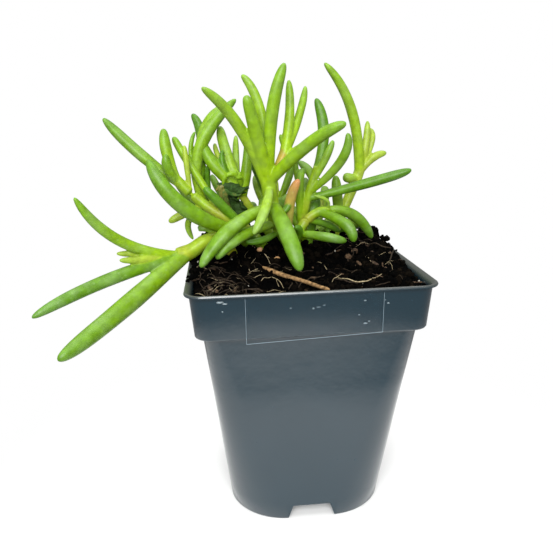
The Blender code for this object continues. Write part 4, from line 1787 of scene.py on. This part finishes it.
@dataclass(frozen=True)
class WitheredTuft:
    """Dead and curled leaves that hang among the left shoots. The darkest dead leaves are dark painted shade
    where the tuft lies in deep shade.
    """

    curl: tuple[Point, ...] = (
        (-22.0, 9.0, 128.5),
        (-22.6, 6.5, 132.4),
        (-25.3, 5.0, 134.4),
        (-28.4, 5.2, 133.2),
        (-29.4, 6.0, 130.2),
    )
    curl_width: float = 3.0
    curl_tone: float = 0.45
    curl_sides: int = 16
    curl_thickness: float = 0.7
    # Each dead leaf: its points, its width and its tone from brown to dark green. The two widest, at the
    # darkest tone, are painted shade hung where the tuft lies in deep shade.
    dead: tuple[tuple[tuple[Point, ...], float, float], ...] = (
        (((-19.0, 9.0, 128.4), (-22.5, 7.0, 128.0), (-27.0, 6.0, 129.2), (-31.8, 6.5, 130.6)), 3.6, 0.9),
        (((-20.0, 8.5, 126.4), (-24.5, 6.6, 126.3), (-28.6, 6.2, 127.4), (-31.2, 6.6, 129.8)), 2.8, 0.6),
        (((-31.8, 6.2, 130.8), (-30.6, 5.6, 128.4), (-30.0, 6.2, 125.4), (-28.4, 8.0, 121.8)), 2.0, 0.1),
        (((-29.4, 6.4, 129.4), (-28.8, 6.0, 126.4), (-28.2, 7.4, 122.6), (-25.8, 10.0, 118.8)), 2.4, 0.3),
        (((-22.5, 10.5, 127.4), (-25.5, 12.0, 123.5), (-26.0, 13.0, 118.5), (-23.5, 13.0, 113.5)), 6.2, 1.0),
        (((-19.6, 11.0, 123.0), (-22.2, 12.5, 120.0), (-21.8, 12.5, 115.5), (-19.0, 11.5, 111.0)), 6.0, 1.0),
    )
    dead_sides: int = 14
    dead_thickness: float = 0.42
    steps: int = 8
    crumple: float = 0.3
    crumple_size: float = 1.7
    # How far a leaf turns about its length: evenly, and by noise of this size
    twist: float = 2.0
    twist_size: float = 4.0
    # How far its upper side leans to the right as it turns
    lean: float = 0.3
    # How wide a leaf is at its root and its tip, and how fast it widens from there
    root_taper: Spot = (0.35, 2.6)
    tip_taper: Spot = (0.25, 2.2)
    # The share along a leaf and the bloom that its marks carry
    mark_share: float = 0.4
    bloom: float = 0.4

    def ribbon(self, points: Sequence[Point], width: float, tone: float) -> Guide:
        """A leaf along the points that tapers at both ends.

        Args:
            points: The points it passes through.
            width: Its greatest width.
            tone: What its marks carry as tone.

        Returns:
            The guide.
        """
        path = catmull_rom([Vector(point) for point in points], self.steps)
        (root, widening), (tip, narrowing) = self.root_taper, self.tip_taper
        widths, uppers = [], []
        for number, point in enumerate(path):
            share = number / (len(path) - 1)
            crumple = 1 + self.crumple * noise.noise(point / self.crumple_size)
            taper = min(1.0, root + widening * share, tip + narrowing * (1 - share))
            widths.append(width / 2 * taper * crumple)
            twist = share * self.twist + self.twist * noise.noise(point / self.twist_size)
            upper = Vector((self.lean * math.sin(twist), -math.sin(twist), math.cos(twist)))
            uppers.append(upper.normalized())
        return Guide(path, widths, uppers, [(self.mark_share, tone, 0.0, self.bloom)] * len(path))

    def build(self, sweep: NodeTree, flesh: Material) -> None:
        """Builds the curled leaf and the dead ones, and hands them over.

        Args:
            sweep: The tree that sweeps guides.
            flesh: The living leaves' finish, which the curled one shares.
        """
        curl = [self.ribbon(self.curl, self.curl_width, self.curl_tone)]
        thick = self.curl_thickness
        sweep_piece("curled_leaf", curl, sweep, flesh, self.curl_sides, "leaf", thickness=thick)
        dead = [self.ribbon(points, width, tone) for points, width, tone in self.dead]
        skin, thick = WitheredSkin().material(), self.dead_thickness
        sweep_piece("withered_leaves", dead, sweep, skin, self.dead_sides, "leaf", thickness=thick)


def points_object(name: str, rows: Sequence[Bit]) -> Object:
    """Bare points that the scatter tree reads.

    Args:
        name: The object's name.
        rows: The bits, in millimetres.

    Returns:
        The object, with size and tone on its points.
    """
    mesh = bpy.data.meshes.new(name)
    mesh.from_pydata([place * MM for place, _, _ in rows], [], [])
    sizes = [axis * MM for _, size, _ in rows for axis in size]
    add_attribute(mesh, "size", "FLOAT_VECTOR", sizes)
    add_attribute(mesh, "tone", "FLOAT", [tone for _, _, tone in rows])
    return new_object(name, mesh)


def bit_shape(subdivisions: int) -> Object:
    """Builds a small faceted ball one unit across, the shape that the scatter tree repeats.

    Args:
        subdivisions: How finely it is divided.

    Returns:
        The ball.
    """
    grid = bmesh.new()
    bmesh.ops.create_icosphere(grid, subdivisions=subdivisions, radius=0.5)
    mesh = bpy.data.meshes.new("bit_shape")
    grid.to_mesh(mesh)
    grid.free()
    return new_object("bit_shape", mesh)


@dataclass(frozen=True)
class Litter:
    """What lies on the bed: crumbs, bark, perlite, seeds, fibres and a twig."""

    soil: PottingSoil
    draw: random.Random
    margin: float = 0.4
    crumbs: int = 4200
    crumb_sizes: Spot = (0.4, 1.7)
    clumps: int = 760
    clump_sizes: Spot = (1.4, 3.8)
    # Crumbs lie thicker within these distances of the back heap and of a stem's foot
    heap_reach: float = 14.0
    stem_reach: float = 5.0
    # The share of crumbs that stays elsewhere, and how few of them are large
    open_share: float = 0.45
    smallness: float = 2.4
    open_size: float = 0.75
    heap_size: float = 0.45
    crumb_stretch: Spot = (0.6, 1.35)
    crumb_lift: Spot = (-0.1, 0.4)
    crumb_tone: Spot = (-0.3, 0.45)
    spilled: int = 46
    # Each rim with spilled crumbs: its side, where they start and end, and where they pile up
    spills: tuple[tuple[int, float, float, float], ...] = (
        (1, 10.0, 39.0, 28.0),
        (-1, -26.0, 34.0, 22.0),
    )
    rim_middle: float = 42.8
    rim_spread: float = 1.0
    rim_edge: float = 44.6
    rim_height: float = 98.3
    # How high a crumb's middle stands on the rim, as a share of its size
    rim_rest: float = 0.3
    spill_sizes: Spot = (0.7, 2.6)
    # The mean height of a pile, its spread and its reach along the rim
    spill_pile: Point = (0.8, 1.5, 9.0)
    spill_stretch: Spot = (0.6, 1.3)
    spill_tone: Spot = (-0.3, 0.3)
    bark_bits: int = 60
    perlite_bits: int = 14
    scrap_lift: float = 0.35
    scrap_stretch: Spot = (0.6, 1.2)
    scrap_tone: Spot = (-0.4, 0.3)
    clods: tuple[Spot, ...] = ((21.0, 0.4), (25.0, 7.0))
    clod_size: Point = (3.4, 3.2, 2.8)
    clod_lift: float = 0.8
    clod_tone: float = 0.1
    # One grain of perlite that stands out in front of the stems
    grain_place: Point = (16.6, 7.8, 100.3)
    grain_size: Point = (1.5, 1.2, 1.2)
    grain_tone: float = 0.3
    # Each seed: its x and y, its length, width and thickness
    seeds: tuple[tuple[float, float, float, float, float], ...] = (
        (-15.4, 4.6, 2.8, 2.6, 2.2),
        (-9.1, -3.4, 3.9, 2.6, 2.2),
    )
    seed_lift: float = 0.25
    fibre_gap: float = 0.25
    # How wide a fibre is at its ends, as a share of its width
    fibre_end: float = 0.7
    # How far a stray fibre runs between two bends, and how fast its curl changes
    stride: float = 1.6
    drift: float = 0.5
    fewest_bends: int = 3
    # The front left corner, where more of them lie
    corner_x: Spot = (-40.0, -20.0)
    corner_y: Spot = (-40.0, -10.0)
    stray_lift: float = 1.6
    pale_fibres: tuple[tuple[Spot, ...], ...] = (
        ((-22.5, 20.6), (-19.6, 17.7), (-17.0, 8.9)),
        ((-14.3, 0.8), (-12.8, -0.8), (-12.0, -5.2)),
        ((-23.9, 0.2), (-22.1, -4.7), (-20.4, -10.3)),
        ((-17.1, -19.0), (-14.6, -17.0), (-12.5, -15.5)),
        ((-12.5, -15.5), (-9.9, -19.8), (-8.4, -27.5)),
        ((7.3, -3.9), (9.1, -9.8), (9.9, -18.7)),
        ((8.9, -27.1), (11.2, -23.6), (13.8, -21.5)),
        ((28.4, 1.3), (28.5, -5.1), (29.1, -9.2)),
    )
    tan_root: tuple[Spot, ...] = (
        (11.8, -22.8), (15.4, -28.9), (20.3, -32.0), (25.3, -26.9), (30.2, -20.4),
    )
    brown_fibres: tuple[tuple[Spot, ...], ...] = (
        ((10.4, -24.8), (12.3, -28.0), (14.7, -29.8), (18.1, -30.2)),
        ((31.9, 15.7), (35.9, 8.8), (40.5, 5.0)),
        ((29.3, 26.0), (31.9, 21.5), (36.2, 20.0)),
        ((41.0, 3.4), (37.7, -4.9), (34.0, -13.7)),
    )
    # The twig's places: x, y and how high its middle stands off the bed
    twig_places: tuple[Point, ...] = (
        (-15.3, -8.6, 0.9),
        (-9.0, -16.5, 1.0),
        (-2.5, -27.0, 1.4),
        (2.4, -38.5, 2.3),
        (5.0, -43.2, 3.6),
    )
    twig_width: float = 1.9
    twig_taper: float = 0.42
    twig_steps: int = 10
    twig_sides: int = 16
    # How much its knots swell, and how many waves of them there are
    knot: float = 0.12
    knots: float = 14.0
    knot_seed: float = 3.0
    # How wide the broken ends are, and how fast each widens
    twig_end: float = 0.45
    root_widening: float = 6.0
    tip_widening: float = 8.0

    def random_place(self) -> Spot:
        """A random place on the bed."""
        reach = self.soil.half_width - self.margin
        return self.draw.uniform(-reach, reach), self.draw.uniform(-reach, reach)

    def stretched(self, size: float, span: Spot) -> Vector:
        """A size that differs by a random factor within the span along each axis."""
        return Vector([size * self.draw.uniform(*span) for _ in range(3)])

    def scatter(
        self,
        name: str,
        rows: Sequence[Bit],
        tree: NodeTree,
        finish: Material,
        subdivisions: int = 1,
        tilt: float = math.pi,
        dents: float = 0.6,
        dent_size: float = 0.8,
        smooth: bool = False,
    ) -> None:
        """Sets a bit on every row's point and hands the piece over.

        Args:
            name: The piece's name.
            rows: The bits.
            tree: The scatter tree.
            finish: The bits' material.
            subdivisions: How finely the ball that is repeated is divided.
            tilt: How far a bit may lean, in radians.
            dents: How deep the dents are.
            dent_size: How far apart they are.
            smooth: Whether the bits are shaded smooth.
        """
        shape = bit_shape(subdivisions)
        piece = points_object(name, rows)
        inputs = {"Shape": shape, "Tilt": tilt, "Dents": dents * MM, "Dent Size": per_mm(dent_size)}
        add_modifier(piece, tree, {**inputs, "Seed": len(rows), "Finish": finish})
        apply_modifiers(piece)
        remove(shape)
        if smooth:
            piece.data.shade_smooth()
        else:
            piece.data.shade_flat()
        hand_over(piece, "soil")

    def crumb_rows(self, count: int, sizes: Spot) -> list[Bit]:
        """Crumbs all over the bed, more and larger on the back heap and round the stems.

        Args:
            count: How many there are.
            sizes: The least and the greatest size.

        Returns:
            The crumbs.
        """
        feet = [stems[0].points[0][:2] for stems in SHOOTS.values()]
        heap_x, heap_y = self.soil.heaps[1][:2]
        least, most = sizes
        rows = []
        while len(rows) < count:
            x, y = self.random_place()
            near = max(bell(math.hypot(x - a, y - b), self.stem_reach) for a, b in feet)
            near = max(near, bell(math.hypot(x - heap_x, y - heap_y), self.heap_reach))
            if self.draw.random() > self.open_share + (1 - self.open_share) * near:
                continue
            growth = self.open_size + self.heap_size * near
            size = least + (most - least) * self.draw.random() ** self.smallness * growth
            stretch = self.stretched(size, self.crumb_stretch)
            if self.soil.half_width - max(abs(x), abs(y)) < size / 2:
                continue
            z = self.soil.rough_height(x, y) + size * self.draw.uniform(*self.crumb_lift)
            rows.append((Vector((x, y, z)), stretch, self.draw.uniform(*self.crumb_tone)))
        return rows

    def spilled_rows(self) -> list[Bit]:
        """Piles crumbs up on the right and the left rim beside the heaps.

        Returns:
            The crumbs.
        """
        mean, spread, reach = self.spill_pile
        rows = []
        for side, first, last, peak in self.spills:
            for _ in range(self.spilled):
                y = self.draw.uniform(first, last)
                x = min(self.rim_middle + self.draw.gauss(0.0, self.rim_spread), self.rim_edge)
                size = self.draw.uniform(*self.spill_sizes)
                rise = max(0.0, self.draw.gauss(mean, spread)) * bell(y - peak, reach)
                z = self.rim_height + size * self.rim_rest + rise
                stretch = self.stretched(size, self.spill_stretch)
                rows.append((Vector((side * x, y, z)), stretch, self.draw.uniform(*self.spill_tone)))
        return rows

    def flat_rows(self, count: int, length: Spot, width: float, thickness: float) -> list[Bit]:
        """Flat scraps that lie on the bed, such as bark.

        Args:
            count: How many there are.
            length: The least and the greatest length.
            width: Their usual width.
            thickness: Their thickness.

        Returns:
            The scraps.
        """
        rows = []
        for _ in range(count):
            x, y = self.random_place()
            size = self.draw.uniform(*length)
            place = Vector((x, y, self.soil.rough_height(x, y) + self.scrap_lift))
            stretch = Vector((size, width * self.draw.uniform(*self.scrap_stretch), thickness))
            rows.append((place, stretch, self.draw.uniform(*self.scrap_tone)))
        return rows

    def fibre_line(self, places: Sequence[Spot], width: float, lift: float, steps: int = 6) -> Guide:
        """A fibre that lies on the bed through given places.

        Args:
            places: Its x and y.
            width: Its width.
            lift: How high its middle stands off the bed.
            steps: How many pieces each span gets.

        Returns:
            The guide.
        """
        flat = catmull_rom([Vector((x, y, 0)) for x, y in places], steps)
        points, widths = [], []
        for number, point in enumerate(flat):
            arch = math.sin(number / (len(flat) - 1) * math.pi)
            rise = width / 2 + self.fibre_gap + lift * arch
            points.append(Vector((point.x, point.y, self.soil.rough_height(point.x, point.y) + rise)))
            widths.append(width / 2 * (self.fibre_end + (1 - self.fibre_end) * arch))
        # Each point moves to the mean of itself and its neighbours, so it bridges small dips
        before, after = [points[0], *points], [*points[1:], points[-1]]
        points = [(a + here + b) / 3 for a, here, b in zip(before, points, after)]
        return Guide(points, widths, [UP] * len(points), [NO_MARKS] * len(points))

    def stray_fibre(self, start: Spot, length: float, width: float, curl: float, lift: float) -> Guide:
        """A fibre that wanders over the bed.

        Args:
            start: Where it starts.
            length: How long it is.
            width: Its width.
            curl: The most that it turns at each step, in radians.
            lift: How high its middle stands off the bed.

        Returns:
            The guide.
        """
        heading = self.draw.uniform(0, 2 * math.pi)
        bend = self.draw.uniform(-curl, curl)
        reach = self.soil.half_width - 2 * self.margin
        places = [start]
        for _ in range(max(self.fewest_bends, round(length / self.stride))):
            bend += self.draw.uniform(-curl, curl) * self.drift
            heading += bend
            x = places[-1][0] + self.stride * math.cos(heading)
            y = places[-1][1] + self.stride * math.sin(heading)
            places.append((min(max(x, -reach), reach), min(max(y, -reach), reach)))
        return self.fibre_line(places, width, lift, steps=2)

    def stray_fibres(self, count: int, sizes: Sequence[float], curl: float, corner: float) -> list[Guide]:
        """Fibres all over the bed.

        Args:
            count: How many there are.
            sizes: The least and the greatest length, then the least and the greatest width.
            curl: How far they may turn at each step.
            corner: The share of them that lies in the front left corner.

        Returns:
            Their guides.
        """
        lines = []
        for _ in range(count):
            place = self.random_place()
            if self.draw.random() < corner:
                place = (self.draw.uniform(*self.corner_x), self.draw.uniform(*self.corner_y))
            length = self.draw.uniform(sizes[0], sizes[1])
            width = self.draw.uniform(sizes[2], sizes[3])
            lift = self.draw.uniform(0.0, self.stray_lift)
            lines.append(self.stray_fibre(place, length, width, curl, lift))
        return lines

    def twig(self) -> Guide:
        """Draws the dry twig that lies on the bed, with slight knots.

        Returns:
            The guide.
        """
        known = [Vector((x, y, self.soil.height(x, y) + lift)) for x, y, lift in self.twig_places]
        path = catmull_rom(known, self.twig_steps)
        widths = []
        for number in range(len(path)):
            share = number / (len(path) - 1)
            knot = 1 + self.knot * noise.noise(Vector((share * self.knots, self.knot_seed, 0.0)))
            root = self.twig_end + self.root_widening * share
            tip = self.twig_end + self.tip_widening * (1 - share)
            taper = 1 - self.twig_taper * share
            widths.append(self.twig_width / 2 * taper * knot * min(1.0, root, tip))
        return Guide(path, widths, [UP] * len(path), [NO_MARKS] * len(path))

    def crumb_pieces(self, tree: NodeTree, peat: Material) -> None:
        """Scatters the crumbs and clumps of peat.

        Args:
            tree: The tree that scatters bits.
            peat: The bed's own finish, which they share.
        """
        self.scatter("peat_crumbs", self.crumb_rows(self.crumbs, self.crumb_sizes), tree, peat)
        clumps = self.crumb_rows(self.clumps, self.clump_sizes) + self.spilled_rows()
        self.scatter("peat_clumps", clumps, tree, peat, subdivisions=2, dents=1.8, dent_size=1.1)

    def scrap_pieces(self, tree: NodeTree) -> None:
        """Scatters the bark, the perlite and the seeds.

        Args:
            tree: The tree that scatters bits.
        """
        bark = Fibrous("composted_bark", "#1E130C", "#54402C").material()
        scraps = self.flat_rows(self.bark_bits, length=(2.0, 5.0), width=1.5, thickness=0.7)
        for x, y in self.clods:
            place = Vector((x, y, self.soil.rough_height(x, y) + self.clod_lift))
            scraps.append((place, Vector(self.clod_size), self.clod_tone))
        self.scatter("bark_scraps", scraps, tree, bark, tilt=0.5, dents=0.5)
        stone = Fibrous("perlite_grit", "#6F6C63", "#A8A599", roughness=0.9).material()
        grit = self.flat_rows(self.perlite_bits, length=(0.6, 1.3), width=0.9, thickness=0.8)
        grit.append((Vector(self.grain_place), Vector(self.grain_size), self.grain_tone))
        self.scatter("perlite_grit", grit, tree, stone)
        husk = Fibrous("dry_seed_husk", "#A87850", "#D9AE7E", grain_size=1.2, roughness=0.55)
        seeds = []
        for x, y, length, width, thickness in self.seeds:
            z = self.soil.rough_height(x, y) + thickness * self.seed_lift
            seeds.append((Vector((x, y, z)), Vector((length, width, thickness)), 0.0))
        shape = {"subdivisions": 4, "tilt": 0.25, "dents": 0.3, "dent_size": 1.5, "smooth": True}
        self.scatter("seeds", seeds, tree, husk.material(), **shape)

    def fibre_pieces(self, sweep: NodeTree) -> None:
        """Lays the pale roots, the brown fibres and the twig.

        Args:
            sweep: The tree that sweeps guides.
        """
        pale = Fibrous("pale_root_fibre", "#665A42", "#B0A17E", roughness=0.6).material()
        roots = [self.fibre_line(places, width=0.3, lift=0.5) for places in self.pale_fibres]
        roots.append(self.fibre_line(self.tan_root, width=0.45, lift=0.8))
        roots += self.stray_fibres(34, (5.0, 14.0, 0.1, 0.2), curl=0.4, corner=0.5)
        sweep_piece("pale_root_fibres", roots, sweep, pale, sides=5, slot="soil")
        brown = Fibrous("brown_peat_fibre", "#120C07", "#362A1B", roughness=0.8).material()
        stalks = [self.fibre_line(places, width=0.6, lift=0.6) for places in self.brown_fibres]
        stalks += self.stray_fibres(110, (4.0, 12.0, 0.18, 0.5), curl=0.2, corner=0.4)
        sweep_piece("brown_peat_fibres", stalks, sweep, brown, sides=6, slot="soil")
        wood = Fibrous("dry_bare_twig", "#503A22", "#A8855A", grain_size=1.6).material()
        sweep_piece("dry_twig", [self.twig()], sweep, wood, self.twig_sides, "twig", ["twig"])

    def build(self, sweep: NodeTree, tree: NodeTree, peat: Material) -> None:
        """Builds all of the litter.

        Args:
            sweep: The tree that sweeps guides.
            tree: The tree that scatters bits.
            peat: The bed's own finish, which the crumbs share.
        """
        self.crumb_pieces(tree, peat)
        self.scrap_pieces(tree)
        self.fibre_pieces(sweep)


@dataclass(frozen=True)
class Lamp:
    """A soft square lamp: its place, what it faces and its width in metres, and its watts."""

    name: str
    place: Point
    aim: Point
    width: float
    power: float

    def hang(self) -> None:
        """Hangs the lamp in the scene."""
        light = bpy.data.lights.new(self.name, "AREA")
        light.shape = "SQUARE"
        light.size = self.width
        light.energy = self.power
        light.spread = math.pi
        lamp = bpy.data.objects.new(self.name, light)
        bpy.context.scene.collection.objects.link(lamp)
        lamp.location = self.place
        beam = Vector(self.aim) - Vector(self.place)
        lamp.rotation_euler = beam.to_track_quat("-Z", "Y").to_euler()


@dataclass(frozen=True)
class Studio:
    """A pale floor, soft lights and the camera at the photographed angle."""

    eye: Point = (-31.0, -238.6, 155.9)
    right: Point = (0.995, -0.097, -0.022)
    upward: Point = (0.046, 0.253, 0.966)
    focal_pixels: float = 600.7
    image_pixels: float = 553.0
    sensor: float = 36.0
    clip: Spot = (0.01, 50.0)
    # How far from the pot's middle the floor starts to fade, and where it ends
    floor_fade: float = 94.0
    floor_end: float = 144.0
    floor_colour: str = "#F4F4F3"
    floor_roughness: float = 0.9
    floor_shine: float = 0.2
    backdrop: str = "#FFFFFF"
    room_light: float = 0.38
    backdrop_light: float = 1.0
    lamps: tuple[Lamp, ...] = (
        Lamp("top_softbox", (0.0, 0.0, 0.8), (0.02, 0.0, 0.05), 0.9, 6.0),
        Lamp("front_softbox", (-0.1, -0.8, 0.5), (0.02, 0.0, 0.1), 0.6, 13.0),
    )

    def camera(self) -> None:
        """Sets the camera up."""
        lens = bpy.data.cameras.new("camera")
        lens.sensor_width = self.sensor
        lens.lens = self.focal_pixels / self.image_pixels * self.sensor
        lens.clip_start, lens.clip_end = self.clip
        camera = bpy.data.objects.new("camera", lens)
        bpy.context.scene.collection.objects.link(camera)
        x_axis = Vector(self.right).normalized()
        upward = Vector(self.upward)
        y_axis = (upward - x_axis * x_axis.dot(upward)).normalized()
        turn = Matrix((x_axis, y_axis, x_axis.cross(y_axis))).transposed().to_4x4()
        camera.matrix_world = Matrix.Translation((Vector(self.eye) + PLACE) * MM) @ turn
        bpy.context.scene.camera = camera

    def floor(self) -> None:
        """Lays the floor, which fades into the backdrop round the pot."""
        grid = bmesh.new()
        bmesh.ops.create_grid(grid, x_segments=1, y_segments=1, size=self.floor_end * MM)
        mesh = bpy.data.meshes.new("pale_floor")
        grid.to_mesh(mesh)
        grid.free()
        mesh.transform(Matrix.Translation(PLACE * MM))
        made = new_object("pale_floor", mesh)
        finish, shader, place = new_material("pale_floor_paint")
        tree = finish.node_tree
        ends = {0: place, 1: PLACE * MM}
        away = add_node(tree, "ShaderNodeVectorMath", ends, operation="DISTANCE")
        span = {"Value": away, "From Min": self.floor_fade * MM, "From Max": self.floor_end * MM}
        span |= {"To Min": 1.0, "To Max": 0.0}
        solid = add_node(tree, "ShaderNodeMapRange", span, interpolation_type="SMOOTHSTEP")
        look = {"Base Color": linear(self.floor_colour), "Roughness": self.floor_roughness}
        set_inputs(tree, shader, {**look, "Specular IOR Level": self.floor_shine, "Alpha": solid})
        mesh.materials.append(finish)

    def world(self) -> None:
        """Surrounds the scene with even light and shows a white backdrop behind it."""
        world = bpy.data.worlds.new("pale_room")
        world.use_nodes = True
        tree = world.node_tree
        seen = add_node(tree, "ShaderNodeLightPath").outputs["Is Camera Ray"]
        span = {"Value": seen, "To Min": self.room_light, "To Max": self.backdrop_light}
        strength = add_node(tree, "ShaderNodeMapRange", span)
        look = {"Color": linear(self.backdrop), "Strength": strength}
        set_inputs(tree, tree.nodes["Background"], look)
        bpy.context.scene.world = world

    def build(self) -> None:
        """Sets up the whole studio."""
        self.camera()
        self.floor()
        self.world()
        for lamp in self.lamps:
            lamp.hang()
        view = bpy.context.scene.view_settings
        view.view_transform = "Standard"
        view.look = "None"


def main() -> None:
    """Builds and dresses the pot, the bed, the plant and the litter."""
    logging.basicConfig(level=logging.INFO, format="%(message)s")
    sweep = SweepTree().build()
    carry = CarryMarksTree().build()
    scatter = ScatterTree().build()
    soil = PottingSoil()
    peat = Peat().material()
    pot = NurseryPot()
    hand_over(pot.shell(), "pot", ["pot"], PotPlastic().material())
    bed = soil.bed()
    pot.cut(bed, [pot.channels(pot.floor + soil.clearance)])
    hand_over(bed, "soil", ["soil"], peat)
    flesh = LeafFlesh().material()
    for number, (name, stems) in enumerate(SHOOTS.items()):
        LeafyShoot(name, stems, random.Random(number)).build(sweep, carry, flesh)
    WitheredTuft().build(sweep, flesh)
    Litter(soil, random.Random(LITTER_SEED)).build(sweep, scatter, peat)
    ClearLabel().build(sweep)
    Studio().build()


if __name__ == "__main__":
    main()
